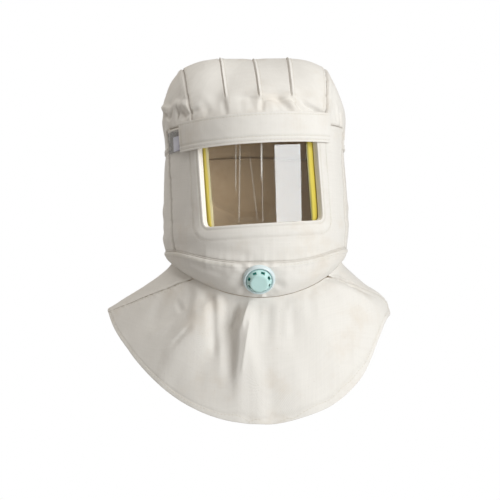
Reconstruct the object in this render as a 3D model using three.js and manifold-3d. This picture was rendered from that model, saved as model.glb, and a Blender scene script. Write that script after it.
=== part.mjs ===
// A canvas blasting hood as it is worn: a soft box-shaped helmet with a curved window, a brow strap,
// an exhaust valve under the chin, and a cape over the shoulders.
// Millimetres, +Z up. The face looks along -Y and the wearer's left hand is on the +X side.
// The origin is where the top of the head meets the inside of the crown.
import * as THREE from "three";
import { mergeVertices } from "three/addons/utils/BufferGeometryUtils.js";
import Module from "manifold-3d";

const wasm = await Module();
wasm.setup();

// Cloth
const cloth = 2; // thickness of the canvas
const gap = 0.3; // clear space between two pieces that are sewn or pressed together

// Heights of the helmet and cape at the front, which add up to 475
const crownHeight = 105.5; // top of the crown to the brow seam
const faceHeight = 174.5; // brow seam to the chin seam
const chinHeight = 44; // chin seam to the neck seam
const capeHeight = 151; // neck seam to the front of the hem

// Heights round the sides and back
const templeDrop = 29.5; // the seam over each side panel, below the brow seam
const napeDrop = 20.5; // the seam over the back panel, below the brow seam
const cheekRise = 15.5; // the chin seam climbs this much towards the sides
const jawHeight = 17; // the chin band at the sides
const napeHeight = 26; // the chin band at the back
const leftShoulderDrop = 58.5; // neck seam to the hem at the -X side
const rightShoulderDrop = 78.5; // neck seam to the hem at the +X side
const capeBackHeight = 162; // neck seam to the hem at the back

// The helmet seen from above
const hoodWidth = 251;
const faceDepth = 132; // from the origin to the face
const backDepth = 127; // from the origin to the back
const roundness = 2.05; // power of the outline, where 2 is an ellipse
const chinCurl = 16; // how far the band turns in at the neck seam, at the front
const jawCurl = 10; // the same at the sides
const napeCurl = 12; // the same at the back
const curlReach = 33; // height over which it turns in
const curlPower = 2.2; // a higher power keeps the turn-in nearer to the seam

// How far the cloth stands out in the middle of each part
const sideSwell = 2;
const backSwell = 3;
const chinSwell = 2.5;

// The crown: three tucks over the top, and a corner seam along each side
const cornerFront = 84.5; // half the width between the corner seams at the brow
const cornerTop = 97; // and on top
const tuckShare = 0.475; // an outer tuck's place between the middle and the corner seam
const tuckRelease = 31.5; // the tucks end this far above the brow seam
const tuckRise = 1.7;
const tuckFade = 5; // height over which a tuck dies away at its end
const tuckWidth = 5;
const foldRise = 4.5; // the soft folds that the tucks release
const foldStart = 9; // height over which they grow above the strap
const foldFade = 14; // and die away among the tucks

// Front panel and window
const panelTurn = 64; // degrees from the middle of the face to the panel's side seam
const sideTurn = 118; // degrees to the seam between the side and back panels
const windowWidth = 164; // along the curve
const windowSill = 48; // chin seam to the window
const windowHeadroom = 20.5; // brow seam to the window
const windowCorner = 7; // radius
const windowLip = 9; // depth of the turned-in edge round the window
const browLean = 2.5; // degrees: window and strap climb towards +X
const sideLean = 4.5; // degrees: the panel's upright lines lean towards -X

// Lens, its coloured edges, and the cover film
const lensThickness = 1.2;
const lensMargin = 6; // how far the lens runs on behind the turned-in edge
const edgeWidth = 13;
const edgeThickness = 1.2;
const filmThickness = 0.8;
const filmTurn = 67; // degrees to the film's loose end
const filmTuck = 14; // degrees of film that the strap covers
const filmMargin = 3; // film below and above the strap's edges that stays hidden
const pullTurn = 7; // degrees of the small tab beside the strap

// Brow strap
const strapHeight = 37.5;
const strapAbove = 9; // the strap's top edge above the brow seam
const strapLeftTurn = 51;
const strapRightTurn = 44;

// Exhaust valve
const valveTilt = 27; // degrees below level
const valveTurn = -2.6; // degrees from the middle of the face
const valveSink = 3; // how far the chin is pressed in by the valve
const valveFlat = 23; // the cloth lies flat this far from the valve's axis
const valveEase = 22; // and is back in its own shape this much further out
const collarRadius = 20;
const collarHeight = 6;
const flangeHeight = 2;
const boreRadius = 12.5;
const neckRadius = 14.7; // the part of the collar that goes through the cloth
const nutHeight = 3;
const nutRadius = 16.2;
const capRadius = 15.6;
const capHeight = 11;
const capWall = 1.5;
const capFlatShare = 0.66; // radius of the cap's flat face, as a share of capRadius
const slotCount = 8;
const slotWidth = 5;
const slotDepth = 2.6;
const valveSides = 24;

// Cape
const capeWidth = 392;
const capeFront = 147.5; // from the origin forward to the hem
const capeBack = 150; // from the origin back to the hem
const capeMiddle = 20; // the widest part of the hem lies this far behind the origin
const capeShift = 10.5; // the cape hangs this far towards -X
const shoulderNeckTurn = 48; // degrees to the shoulder seam at the neck
const shoulderHemTurn = 80; // degrees to the shoulder seam at the hem
const capeSwell = 10; // how far the cloth stands out over the shoulder and chest
const capeFacing = 0.6; // rise of the direction in which it stands out, for each step outward
const drapeRise = 15; // the deepest fold of the cape
const hemWidth = 8;
const hemExtra = 1; // a turned hem is thicker by this much

const top = cloth;
const browSeam = top - crownHeight;
const chinSeamFront = browSeam - faceHeight;
const neckFront = chinSeamFront - chinHeight;
const cheekSeam = chinSeamFront + cheekRise;
const neckSide = cheekSeam - jawHeight;
const neckBack = cheekSeam - napeHeight;
const helmetHeight = top - neckFront;

// Width of the helmet up its height: a share of hoodWidth at each share of the helmet's height
const girths = [
  { at: 0, width: 1 },
  { at: 0.22, width: 1.004 },
  { at: 0.4, width: 0.994 },
  { at: 0.6, width: 0.978 },
  { at: 0.7, width: 1 },
  { at: 0.78, width: 1.008 },
  { at: 1, width: 1.008 },
];

// How full the crown is at each turn from the face: 1 is a straight slope, 4 is nearly a box
const crownFullness = [
  { at: 0, power: 1.38 },
  { at: 30, power: 1.6 },
  { at: 55, power: 2.7 },
  { at: 90, power: 4 },
  { at: 125, power: 3.2 },
  { at: 180, power: 2.5 },
];

// The front hem at each turn from the middle: a share of the way from the shoulder down to the lowest point
const hemline = [
  { at: -90, fall: 0 },
  { at: -76, fall: 0.11 },
  { at: -60, fall: 0.29 },
  { at: -45, fall: 0.54 },
  { at: -30, fall: 0.78 },
  { at: -15, fall: 0.94 },
  { at: 0, fall: 1 },
  { at: 15, fall: 0.965 },
  { at: 30, fall: 0.85 },
  { at: 45, fall: 0.58 },
  { at: 58, fall: 0.2 },
  { at: 68, fall: 0.02 },
  { at: 90, fall: 0 },
];

// How far the draped cloth stands out half way down, as a share of capeSwell, at turns from one side
// round the front to the back and on
const swells = [
  { at: -180, rise: 0.4 },
  { at: -130, rise: 0.5 },
  { at: -90, rise: 0 },
  { at: -50, rise: 0.3 },
  { at: 0, rise: 0.5 },
  { at: 50, rise: 0.9 },
  { at: 90, rise: 0.9 },
  { at: 130, rise: 0.6 },
  { at: 180, rise: 0.4 },
];

// Soft folds between the tucks' ends and the strap: place as a share of cornerFront, lean in degrees,
// width as a share of cornerFront, rise as a share of foldRise
const gathers = [
  { across: -0.82, lean: -38, width: 0.13, rise: 0.8 },
  { across: -0.62, lean: 24, width: 0.12, rise: -0.6 },
  { across: -0.42, lean: -12, width: 0.15, rise: 0.7 },
  { across: -0.2, lean: 8, width: 0.12, rise: -0.6 },
  { across: 0.02, lean: -6, width: 0.16, rise: 0.8 },
  { across: 0.22, lean: 14, width: 0.12, rise: -0.8 },
  { across: 0.44, lean: 30, width: 0.13, rise: 1 },
  { across: 0.66, lean: 48, width: 0.12, rise: -0.9 },
  { across: 0.88, lean: 55, width: 0.13, rise: 0.8 },
];

// Creases of the crown's sides: turn in degrees, height as a share of crownHeight above the brow seam,
// lean in degrees from upright, length and width as shares of crownHeight, rise as a share of foldRise
const cornerCreases = [
  { turn: -61, height: 0.2, lean: 62, length: 0.26, width: 0.09, rise: 1.1 },
  { turn: -69, height: 0.1, lean: -32, length: 0.24, width: 0.08, rise: -1.2 },
  { turn: -76, height: 0.22, lean: 18, length: 0.36, width: 0.1, rise: 0.9 },
  { turn: -88, height: 0.02, lean: -20, length: 0.34, width: 0.12, rise: -0.8 },
  { turn: -56, height: 0.34, lean: 10, length: 0.26, width: 0.12, rise: -1 },
  { turn: 58, height: 0.14, lean: 58, length: 0.24, width: 0.08, rise: -1.1 },
  { turn: 64, height: 0.24, lean: 40, length: 0.3, width: 0.1, rise: 0.9 },
  { turn: 78, height: 0.12, lean: -14, length: 0.36, width: 0.1, rise: 0.6 },
  { turn: 100, height: 0.05, lean: 12, length: 0.4, width: 0.14, rise: -0.7 },
  { turn: -112, height: 0.1, lean: -10, length: 0.4, width: 0.14, rise: 0.7 },
  { turn: 84, height: 0.6, lean: 70, length: 0.6, width: 0.36, rise: -1.2 },
  { turn: 90, height: 0.08, lean: 0, length: 0.45, width: 0.5, rise: -0.8 },
];

// Folds of the cape, each along a line from the neck to the hem, in degrees of the hem. The fold is
// deepest at a share of the way down, and reaches so far from there. Its width is in degrees at the hem and
// its rise a share of drapeRise. A steep fold falls sharply on its -X side.
const folds = [
  { from: -13, to: -7, deepest: 0.15, reach: 0.95, width: 11, steep: 3.2, rise: 0.9 },
  { from: -26, to: -24, deepest: 0.12, reach: 0.7, width: 11, steep: 1, rise: -0.7 },
  { from: -42, to: -38, deepest: 0.2, reach: 0.8, width: 13, steep: 1, rise: 0.5 },
  { from: -62, to: -58, deepest: 0.5, reach: 0.6, width: 15, steep: 1, rise: -0.3 },
  { from: -2, to: 4, deepest: 1, reach: 0.5, width: 16, steep: 1, rise: -0.3 },
  { from: 20, to: 16, deepest: 0.1, reach: 0.6, width: 15, steep: 1, rise: -0.35 },
  { from: 40, to: 42, deepest: 0.55, reach: 0.8, width: 22, steep: 1, rise: 0.3 },
  { from: 68, to: 66, deepest: 0.3, reach: 0.9, width: 14, steep: 1.6, rise: 0.35 },
  { from: 92, to: 92, deepest: 0.76, reach: 0.36, width: 30, steep: 1, rise: 0.8 },
  { from: 122, to: 130, deepest: 0.9, reach: 0.9, width: 16, steep: 1, rise: 0.5 },
  { from: 152, to: 154, deepest: 0.7, reach: 0.9, width: 14, steep: 1, rise: -0.5 },
  { from: 180, to: 178, deepest: 0.9, reach: 1, width: 15, steep: 1.4, rise: 0.6 },
  { from: 206, to: 203, deepest: 0.8, reach: 0.9, width: 13, steep: 1, rise: -0.5 },
  { from: 236, to: 228, deepest: 0.9, reach: 0.9, width: 16, steep: 1, rise: 0.5 },
  { from: 262, to: 260, deepest: 0.7, reach: 0.8, width: 14, steep: 1, rise: 0.25 },
];

const degree = Math.PI / 180;
const mix = (from, to, share) => from + (to - from) * share;
const within = (value, low, high) => Math.min(high, Math.max(low, value));

// From 0 to 1, level at both ends
function ease(share) {
  const t = within(share, 0, 1);
  return t * t * (3 - 2 * t);
}

// A smooth hump: 1 at no distance, 0 from reach on
function hump(distance, reach) {
  return 1 - ease(Math.abs(distance) / reach);
}

// A smooth curve through one column of a table, level beyond its ends
function along(table, column, at) {
  const last = table.length - 1;
  if (at <= table[0].at) return table[0][column];
  if (at >= table[last].at) return table[last][column];
  const i = table.findIndex((row) => row.at > at) - 1;
  const slope = (k) => {
    const before = table[Math.max(0, k - 1)];
    const after = table[Math.min(last, k + 1)];
    return (after[column] - before[column]) / (after.at - before.at);
  };
  const step = table[i + 1].at - table[i].at;
  const t = (at - table[i].at) / step;
  const rise = ease(t) * (table[i + 1][column] - table[i][column]);
  const startTurn = (t - 2 * t * t + t * t * t) * step * slope(i);
  const endTurn = (t * t * t - t * t) * step * slope(i + 1);
  return table[i][column] + rise + startTurn + endTurn;
}

// A turn brought to between -180 and 180 degrees
function signedTurn(turn) {
  return turn - 360 * Math.round(turn / 360);
}

// Seams, as heights at a turn in degrees from the middle of the face

// Degrees from the face, 0 to 180 on both sides
function turnFromFace(turn) {
  return Math.acos(within(Math.cos(turn * degree), -1, 1)) / degree;
}

function crownSeam(turn) {
  const backward = ease((turnFromFace(turn) - sideTurn) / (180 - sideTurn));
  return browSeam - mix(templeDrop, napeDrop, backward);
}

function chinSeam(turn) {
  const flat = 10;
  return chinSeamFront + cheekRise * ease((turnFromFace(turn) - flat) / (panelTurn - flat));
}

// A value that goes from front to side to back round the head
function round(front, side, back, turn) {
  const facing = Math.cos(turn * degree);
  return mix(side, facing > 0 ? front : back, facing * facing);
}

const neckSeam = (turn) => round(neckFront, neckSide, neckBack, turn);

// Arc length on the face for a turn in degrees
const faceArc = (turn) => turn * degree * faceDepth;

// The upright lines of the face lean: the change of turn at a height
function leanTurn(height) {
  const middle = (browSeam + chinSeamFront) / 2;
  return -(Math.tan(sideLean * degree) * (height - middle)) / faceDepth / degree;
}

// The panel's side seam at a height, side being -1 or 1
function panelEdge(side, height) {
  const taper = side < 0 ? 1.9 : -0.3;
  return side * panelTurn + taper * leanTurn(height);
}

// Skin of the helmet

// Below 1 inside the helmet, 1 on its outer skin
function filling(point) {
  const turn = Math.atan2(point.x, -point.y) / degree;
  const share = (point.z - neckFront) / helmetHeight;
  const climb = within((point.z - neckSeam(turn)) / curlReach, 0, 1);
  const curl = round(chinCurl, jawCurl, napeCurl, turn) * (1 - climb) ** curlPower;
  const halfWidth = (hoodWidth / 2) * along(girths, "width", share) - curl;
  const depth = (point.y < 0 ? faceDepth : backDepth) - curl;
  const across = Math.abs(point.x / halfWidth) ** roundness;
  const aheadOrBack = Math.abs(point.y / depth) ** roundness;
  const outline = (across + aheadOrBack) ** (1 / roundness);
  const shoulder = round(browSeam, browSeam - templeDrop, browSeam - napeDrop, turn);
  const climbOfCrown = Math.max(0, (point.z - shoulder) / (top - shoulder));
  const power = along(crownFullness, "power", turnFromFace(turn));
  return (outline ** power + climbOfCrown ** power) ** (1 / power);
}

// Where a line from inside the helmet meets its skin
function reach(start, direction) {
  const point = new THREE.Vector3();
  let inside = 0;
  let outside = helmetHeight;
  const close = 1e-5;
  while (outside - inside > close) {
    const middle = (inside + outside) / 2;
    point.copy(start).addScaledVector(direction, middle);
    if (filling(point) < 1) inside = middle;
    else outside = middle;
  }
  return point.copy(start).addScaledVector(direction, inside);
}

// The skin's outward direction at a point
function outward(point) {
  const step = 0.4;
  const slope = (axis) => {
    const ahead = point.clone();
    const behind = point.clone();
    ahead[axis] += step;
    behind[axis] -= step;
    return filling(ahead) - filling(behind);
  };
  return new THREE.Vector3(slope("x"), slope("y"), slope("z")).normalize();
}

// A point of the helmet's wall at a turn and a height
function wall(turn, height) {
  const start = new THREE.Vector3(0, 0, height);
  const direction = new THREE.Vector3(Math.sin(turn * degree), -Math.cos(turn * degree), 0);
  return reach(start, direction);
}

// A point moved out from the skin, or in where the distance is below nothing
function standOff(point, distance) {
  return point.clone().addScaledVector(outward(point), distance);
}

// Sheets and rings of cloth

function solid(name, geometry, color, roughness, metalness = 0) {
  const material = new THREE.MeshStandardMaterial({ color, roughness, metalness });
  const mesh = new THREE.Mesh(geometry, material);
  mesh.name = name;
  return mesh;
}

function closed(geometry) {
  geometry.deleteAttribute("normal");
  geometry.deleteAttribute("uv");
  const merged = mergeVertices(geometry, 1e-3);
  merged.computeVertexNormals();
  return merged;
}

// Evenly spaced numbers from one value to another
function steps(from, to, count) {
  return Array.from({ length: count + 1 }, (_, k) => mix(from, to, k / count));
}

// A closed sheet: place(u, v, outside) gives a point of its outer or inner face
function sheet(columns, rows, place) {
  const across = columns.length - 1;
  const up = rows.length - 1;
  const geometry = new THREE.BoxGeometry(1, 1, 1, across, up, 1);
  const position = geometry.getAttribute("position");
  for (let k = 0; k < position.count; k += 1) {
    const u = columns[Math.round((position.getX(k) + 0.5) * across)];
    const v = rows[Math.round((position.getY(k) + 0.5) * up)];
    const point = place(u, v, position.getZ(k) > 0);
    position.setXYZ(k, point.x, point.y, point.z);
  }
  return closed(geometry);
}

// A closed ring with a given number of stations round it: place(station, corner) gives a corner of its section
function ring(stations, corners, place) {
  const geometry = new THREE.TorusGeometry(2, 1, corners, stations);
  const position = geometry.getAttribute("position");
  for (let k = 0; k < position.count; k += 1) {
    const station = (k % (stations + 1)) % stations;
    const corner = Math.floor(k / (stations + 1)) % corners;
    const point = place(station, corner);
    position.setXYZ(k, point.x, point.y, point.z);
  }
  return closed(geometry);
}

// Cloth that follows the helmet's skin, lifted into folds
function clothOnSkin(point, lift, outside) {
  return standOff(point, outside ? lift : lift - cloth);
}

// Crown

// Rise of the tucks, whose ridges stand on the outer face only
function tuckLift(across, half, height) {
  const released = ease((height - browSeam - tuckRelease) / tuckFade);
  const ridges = [-tuckShare, 0, tuckShare].map((share) => hump((across - share) * half, tuckWidth / 2));
  return tuckRise * released * Math.max(...ridges);
}

// The soft folds under the tucks, which die away at the strap
function gatherLift(x, height) {
  const above = height - browSeam;
  const strength = ease((above - strapAbove - 1) / foldStart) * (1 - ease((above - tuckRelease) / foldFade));
  const each = gathers.map((fold) => {
    const line = cornerFront * fold.across + (tuckRelease - above) * Math.tan(fold.lean * degree);
    return fold.rise * hump(x - line, cornerFront * fold.width);
  });
  return foldRise * strength * each.reduce((sum, value) => sum + value, 0);
}

function creaseLift(turn, height) {
  const each = cornerCreases.map((crease) => {
    const sideways = faceArc(turn - crease.turn);
    const upwards = height - browSeam - crease.height * crownHeight;
    const lean = crease.lean * degree;
    const lengthwise = sideways * Math.sin(lean) + upwards * Math.cos(lean);
    const crosswise = sideways * Math.cos(lean) - upwards * Math.sin(lean);
    const fade = hump(lengthwise, crease.length * crownHeight);
    return crease.rise * fade * hump(crosswise, crease.width * crownHeight);
  });
  return foldRise * each.reduce((sum, value) => sum + value, 0);
}

// Half the crown's width between its corner seams, from the brow (0) over the top to the nape (1)
const cornerHalf = (share) => mix(cornerFront, cornerTop, Math.sin(Math.PI * share));

// A point of the crown at x, a share of the way from the brow seam to the nape seam
function overCrown(x, share) {
  const core = new THREE.Vector3(x, 0, browSeam - templeDrop);
  const seamPoint = (height, forward) => {
    const start = new THREE.Vector3(x, 0, height);
    return reach(start, new THREE.Vector3(0, forward, 0));
  };
  const brow = seamPoint(browSeam + gap / 2, -1);
  const napeTurn = Math.atan2(x, -backDepth) / degree;
  const nape = seamPoint(crownSeam(napeTurn) + gap / 2, 1);
  const from = Math.atan2(brow.z - core.z, -brow.y);
  const to = Math.PI - Math.atan2(nape.z - core.z, nape.y);
  const angle = mix(from, to, share);
  return reach(core, new THREE.Vector3(0, -Math.cos(angle), Math.sin(angle)));
}

const crownRows = [0, 0.04, 0.08, 0.115, 0.15, 0.19, 0.25, 0.34, 0.44, 0.55, 0.67, 0.79, 0.9, 1];

// Columns that set a foot, a ridge and a foot at every tuck
function crownColumns() {
  const foot = tuckWidth / 2 / cornerTop;
  const inner = [-tuckShare, 0, tuckShare].flatMap((share) => [share - foot, share, share + foot]);
  const stops = [-1, ...inner, 1];
  return stops.flatMap((stop, k) => {
    const next = stops[k + 1];
    if (next === undefined) return [stop];
    const count = next - stop > foot * 1.5 ? 4 : 1;
    return steps(stop, next, count).slice(0, -1);
  });
}

function crownTop() {
  const edge = 1 - gap / 2 / cornerFront;
  return sheet(crownColumns(), crownRows, (u, v, outside) => {
    const half = cornerHalf(v);
    const x = u * edge * half;
    const point = overCrown(x, v);
    const front = point.y < 0;
    const folds = front ? gatherLift(x, point.z) * (1 - Math.abs(u) ** 6) : 0;
    const ridge = outside ? tuckLift(u, half, point.z) : 0;
    return clothOnSkin(point, folds + ridge, outside);
  });
}

const crownSideRows = [1, 0.9, 0.75, 0.6, 0.45, 0.3, 0.15, 0];

// The crown's side, bounded by the corner seam, the brow seam, the side panel and the back panel
function crownSide(side) {
  const lift = gap / 2;
  const heart = new THREE.Vector3(0, 0, browSeam - templeDrop);
  const clearTurn = gap / faceDepth / degree;
  const browEnd = Math.abs(panelEdge(side, browSeam)) + clearTurn;
  const corner = (share) => overCrown(side * (cornerHalf(share) + lift), share);
  const start = corner(0);
  const end = corner(1);
  const startTurn = Math.abs(Math.atan2(start.x, -start.y)) / degree;
  const endTurn = Math.abs(Math.atan2(end.x, -end.y)) / degree;
  const bend = 0.6;
  const frontEdge = (share) => {
    if (share <= bend) return wall(side * mix(startTurn, browEnd, share / bend), browSeam + lift);
    const height = mix(browSeam + lift, crownSeam(browEnd) + lift, (share - bend) / (1 - bend));
    return wall(side * (Math.abs(panelEdge(side, height)) + clearTurn), height);
  };
  const lowEnd = Math.abs(panelEdge(side, crownSeam(browEnd))) + clearTurn;
  const lowEdge = (share) => {
    const turn = side * mix(lowEnd, sideTurn, share);
    return wall(turn, crownSeam(turn) + lift);
  };
  const backEdge = (share) => {
    const turn = side * mix(endTurn, sideTurn, share);
    return wall(turn, crownSeam(turn) + lift);
  };
  // The middle of the patch blends its four edges, and is then set on the skin.
  const patch = (u, v) => {
    const point = new THREE.Vector3();
    point.addScaledVector(corner(u), 1 - v).addScaledVector(lowEdge(u), v);
    point.addScaledVector(frontEdge(v), 1 - u).addScaledVector(backEdge(v), u);
    point.addScaledVector(start, -(1 - u) * (1 - v)).addScaledVector(end, -u * (1 - v));
    point.addScaledVector(lowEdge(0), -(1 - u) * v).addScaledVector(lowEdge(1), -u * v);
    return reach(heart, point.sub(heart).normalize());
  };
  const columns = side > 0 ? crownRows : [...crownRows].reverse();
  return sheet(columns, crownSideRows, (u, v, outside) => {
    const point = patch(u, v);
    const turn = Math.atan2(point.x, -point.y) / degree;
    const sewn = 0.16; // share of the patch over which the creases die away at its seams
    const hemmed = ease(Math.min(u, 1 - u, v * 1.5, 1 - v) / sewn);
    return clothOnSkin(point, creaseLift(turn, point.z) * hemmed, outside);
  });
}

// Panels of the wall

// A wall panel between two turns, from the chin seam to the seam of the crown
function wallPanel(fromTurn, toTurn, columns, rows, swell) {
  return sheet(steps(0, 1, columns), steps(0, 1, rows), (u, v, outside) => {
    const low = chinSeam(mix(fromTurn(0), toTurn(0), u)) + gap / 2;
    const high = crownSeam(mix(fromTurn(0), toTurn(0), u)) - gap / 2;
    const height = mix(low, high, v);
    const turn = mix(fromTurn(height), toTurn(height), u);
    const puff = swell * Math.sin(Math.PI * v) * Math.sin(Math.PI * u);
    return clothOnSkin(wall(turn, height), puff, outside);
  });
}

function sidePanel(side) {
  const clearTurn = gap / 2 / faceDepth / degree;
  const front = (height) => panelEdge(side, height) + side * clearTurn;
  const back = () => side * (sideTurn - clearTurn);
  return side > 0 ? wallPanel(front, back, 6, 9, sideSwell) : wallPanel(back, front, 6, 9, sideSwell);
}

function backPanel() {
  const clearTurn = gap / 2 / backDepth / degree;
  const from = () => sideTurn + clearTurn;
  const to = () => 360 - sideTurn - clearTurn;
  return wallPanel(from, to, 12, 9, backSwell);
}

// Window

// Stations round a square, starting at its lower right corner: the sides that each station lies between
const acrossStations = 26;
const uprightStations = 12;
const squareStations = 2 * (acrossStations + uprightStations);

// A station's place on the square from -1 to 1, closer together towards the corners
function onSquare(station) {
  const spread = (k, count) => Math.cos((Math.PI * k) / count);
  const upperRight = uprightStations;
  const upperLeft = upperRight + acrossStations;
  const lowerLeft = upperLeft + uprightStations;
  if (station < upperRight) return { p: 1, q: -spread(station, uprightStations) };
  if (station < upperLeft) return { p: spread(station - upperRight, acrossStations), q: 1 };
  if (station < lowerLeft) return { p: -1, q: spread(station - upperLeft, uprightStations) };
  return { p: -spread(station - lowerLeft, acrossStations), q: -1 };
}

const windowBottom = chinSeamFront + windowSill;
const windowTop = browSeam - windowHeadroom;

// Turn and height of a point of the window, grown by some millimetres all round
function inWindow(p, q, grow) {
  const half = windowWidth / 2 + grow;
  const tall = (windowTop - windowBottom) / 2 + grow;
  const radius = windowCorner + grow;
  const x = p * half;
  const z = q * tall;
  const coreX = within(x, radius - half, half - radius);
  const coreZ = within(z, radius - tall, tall - radius);
  const off = Math.hypot(x - coreX, z - coreZ);
  const pull = off > 0 ? Math.min(1, radius / off) : 1;
  const arc = coreX + (x - coreX) * pull;
  const middle = (windowTop + windowBottom) / 2;
  const height = middle + coreZ + (z - coreZ) * pull + arc * Math.tan(browLean * degree);
  const turn = arc / faceDepth / degree + leanTurn(height) - leanTurn(middle);
  return { turn, height };
}

// Turn and height of a point of the front panel's own edge
function onPanelEdge(p, q) {
  const footTurn = mix(panelEdge(-1, cheekSeam), panelEdge(1, cheekSeam), (p + 1) / 2);
  const low = chinSeam(footTurn) + gap / 2;
  const high = browSeam - gap / 2;
  const height = mix(low, high, (q + 1) / 2);
  const clearTurn = gap / 2 / faceDepth / degree;
  const left = panelEdge(-1, height) + clearTurn;
  const right = panelEdge(1, height) - clearTurn;
  return { turn: mix(left, right, (p + 1) / 2), height };
}

// The section of the front panel: across is the way from the window (0) to the panel's edge (1),
// grow widens the window's outline, and depth is measured in from the outer face
const panelSection = [
  { across: 1, grow: 0, depth: 0 },
  { across: 0.6, grow: 0, depth: 0 },
  { across: 0.25, grow: 0, depth: 0 },
  { across: 0.05, grow: 0, depth: 0 },
  { across: 0, grow: 0, depth: 0.5 },
  { across: 0, grow: 0, depth: windowLip },
  { across: 0, grow: cloth, depth: windowLip },
  { across: 0, grow: cloth, depth: cloth },
  { across: 0.25, grow: 0, depth: cloth },
  { across: 0.6, grow: 0, depth: cloth },
  { across: 1, grow: 0, depth: cloth },
];

function frontPanel() {
  return ring(squareStations, panelSection.length, (station, corner) => {
    const { p, q } = onSquare(station);
    const { across, grow, depth } = panelSection[corner];
    const inner = inWindow(p, q, grow);
    const outer = onPanelEdge(p, q);
    const turn = mix(inner.turn, outer.turn, across);
    const height = mix(inner.height, outer.height, across);
    return standOff(wall(turn, height), -depth);
  });
}

// A stiff sheet behind the window, between two places across the lens, at a depth under the panel's face
function behindWindow(from, to, columns, depth, thickness) {
  const middle = (windowTop + windowBottom) / 2;
  const tall = (windowTop - windowBottom) / 2 + lensMargin;
  const half = windowWidth / 2 + lensMargin;
  return sheet(steps(from, to, columns), [-1, 1], (u, v, outside) => {
    const arc = within(u, -half, half);
    const height = middle + v * tall + arc * Math.tan(browLean * degree);
    const turn = arc / faceDepth / degree + leanTurn(height) - leanTurn(middle);
    const level = new THREE.Vector3(Math.sin(turn * degree), -Math.cos(turn * degree), 0);
    const face = wall(turn, middle);
    face.z = height;
    return face.addScaledVector(level, outside ? -depth : -depth - thickness);
  });
}

const pocketRoom = 1.2; // clear space between the window's turned-in edge and the strips
const edgeDepth = windowLip + gap + pocketRoom;
const lensDepth = edgeDepth + edgeThickness + gap;
const lensHalf = windowWidth / 2 + lensMargin;

function lens() {
  return behindWindow(-lensHalf, lensHalf, 24, lensDepth, lensThickness);
}

function lensEdge(side) {
  const outer = side * lensHalf;
  const inner = side * (lensHalf - edgeWidth);
  const from = Math.min(outer, inner);
  const to = Math.max(outer, inner);
  return behindWindow(from, to, 3, edgeDepth, edgeThickness);
}

// Strap and film, which lie on the front panel

// A band round the brow, standing off the panel, straight up past the brow seam
function browBand(fromTurn, toTurn, columns, low, high, off, thickness) {
  return sheet(steps(fromTurn, toTurn, columns), steps(low, high, 3), (u, v, outside) => {
    const height = v + faceArc(u) * Math.tan(browLean * degree);
    const point = wall(u, Math.min(height, browSeam));
    const level = new THREE.Vector3(Math.sin(u * degree), -Math.cos(u * degree), 0);
    point.z = height;
    return point.addScaledVector(level, off + (outside ? thickness : 0));
  });
}

const strapTop = browSeam + strapAbove;
const strapBottom = strapTop - strapHeight;
const filmOff = gap + 0.2;
const strapOff = filmOff + filmThickness + gap;

function browStrap() {
  return browBand(-strapLeftTurn, strapRightTurn, 22, strapBottom, strapTop, strapOff, cloth);
}

function filmTab() {
  const low = strapBottom + filmMargin;
  const high = browSeam + filmMargin - 1;
  return browBand(-filmTurn, filmTuck - strapLeftTurn, 8, low, high, filmOff, filmThickness);
}

function pullTab() {
  const low = strapBottom + filmMargin;
  const clearTurn = 0.3;
  const right = -strapLeftTurn - clearTurn;
  return browBand(right - pullTurn, right, 3, low, low + strapHeight / 2, strapOff, filmThickness);
}

// Valve

const valveHeight = (chinSeamFront + neckFront) / 2;
const valveAxis = new THREE.Vector3(0, -Math.cos(valveTilt * degree), -Math.sin(valveTilt * degree));
valveAxis.applyAxisAngle(new THREE.Vector3(0, 0, 1), valveTurn * degree);
const valveSeat = wall(valveTurn, valveHeight).addScaledVector(valveAxis, -valveSink);

// The cloth lies flat under the collar and comes back to its own shape further out
function flattened(point, direction, freedom) {
  const offset = point.clone().sub(valveSeat);
  const height = offset.dot(valveAxis);
  const distance = offset.addScaledVector(valveAxis, -height).length();
  const flat = 1 - ease((distance - valveFlat) / valveEase);
  const strength = flat * freedom;
  const moved = point.clone().addScaledVector(valveAxis, -height * strength);
  const facing = direction.clone().lerp(valveAxis, strength).normalize();
  return { moved, facing };
}

function chinBand() {
  const rows = [0, 0.1, 0.3, 0.5, 0.7, 0.9, 1];
  const stations = 56;
  // Stations lie closer together at the valve.
  const turnOf = (station) => {
    const share = (station / stations) * 2 - 1;
    return 180 * share * (0.45 + 0.55 * share * share);
  };
  return ring(stations, 2 * rows.length, (station, corner) => {
    const outside = corner < rows.length;
    const share = outside ? rows[corner] : rows[2 * rows.length - 1 - corner];
    const turn = turnOf(station);
    const height = mix(neckSeam(turn) + gap / 2, chinSeam(turn) - gap / 2, share);
    const base = wall(turn, height);
    const direction = outward(base);
    const puffed = base.addScaledVector(direction, chinSwell * Math.sin(Math.PI * share) * ease((share + 0.1) * 2));
    const sewn = share === 0 || share === 1;
    const freedom = Math.abs(turn) < 60 && !sewn ? 1 : 0;
    const { moved, facing } = flattened(puffed, direction, freedom);
    return outside ? moved : moved.addScaledVector(facing, -cloth);
  });
}

function valveGroup() {
  const group = new THREE.Group();
  group.position.copy(valveSeat);
  group.quaternion.setFromUnitVectors(new THREE.Vector3(0, 0, 1), valveAxis);
  return group;
}

// A turned piece from radius and height pairs, standing on +Z
function turned(profile) {
  const points = profile.map(([radius, height]) => new THREE.Vector2(radius, height));
  const geometry = new THREE.LatheGeometry(points, valveSides);
  geometry.rotateX(Math.PI / 2);
  return closed(geometry);
}

function manifoldOf(geometry) {
  const merged = geometry.index ? geometry : mergeVertices(geometry, 1e-3);
  const vertProperties = new Float32Array(merged.getAttribute("position").array);
  const triVerts = new Uint32Array(merged.index.array);
  return new wasm.Manifold(new wasm.Mesh({ numProp: 3, vertProperties, triVerts }));
}

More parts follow.
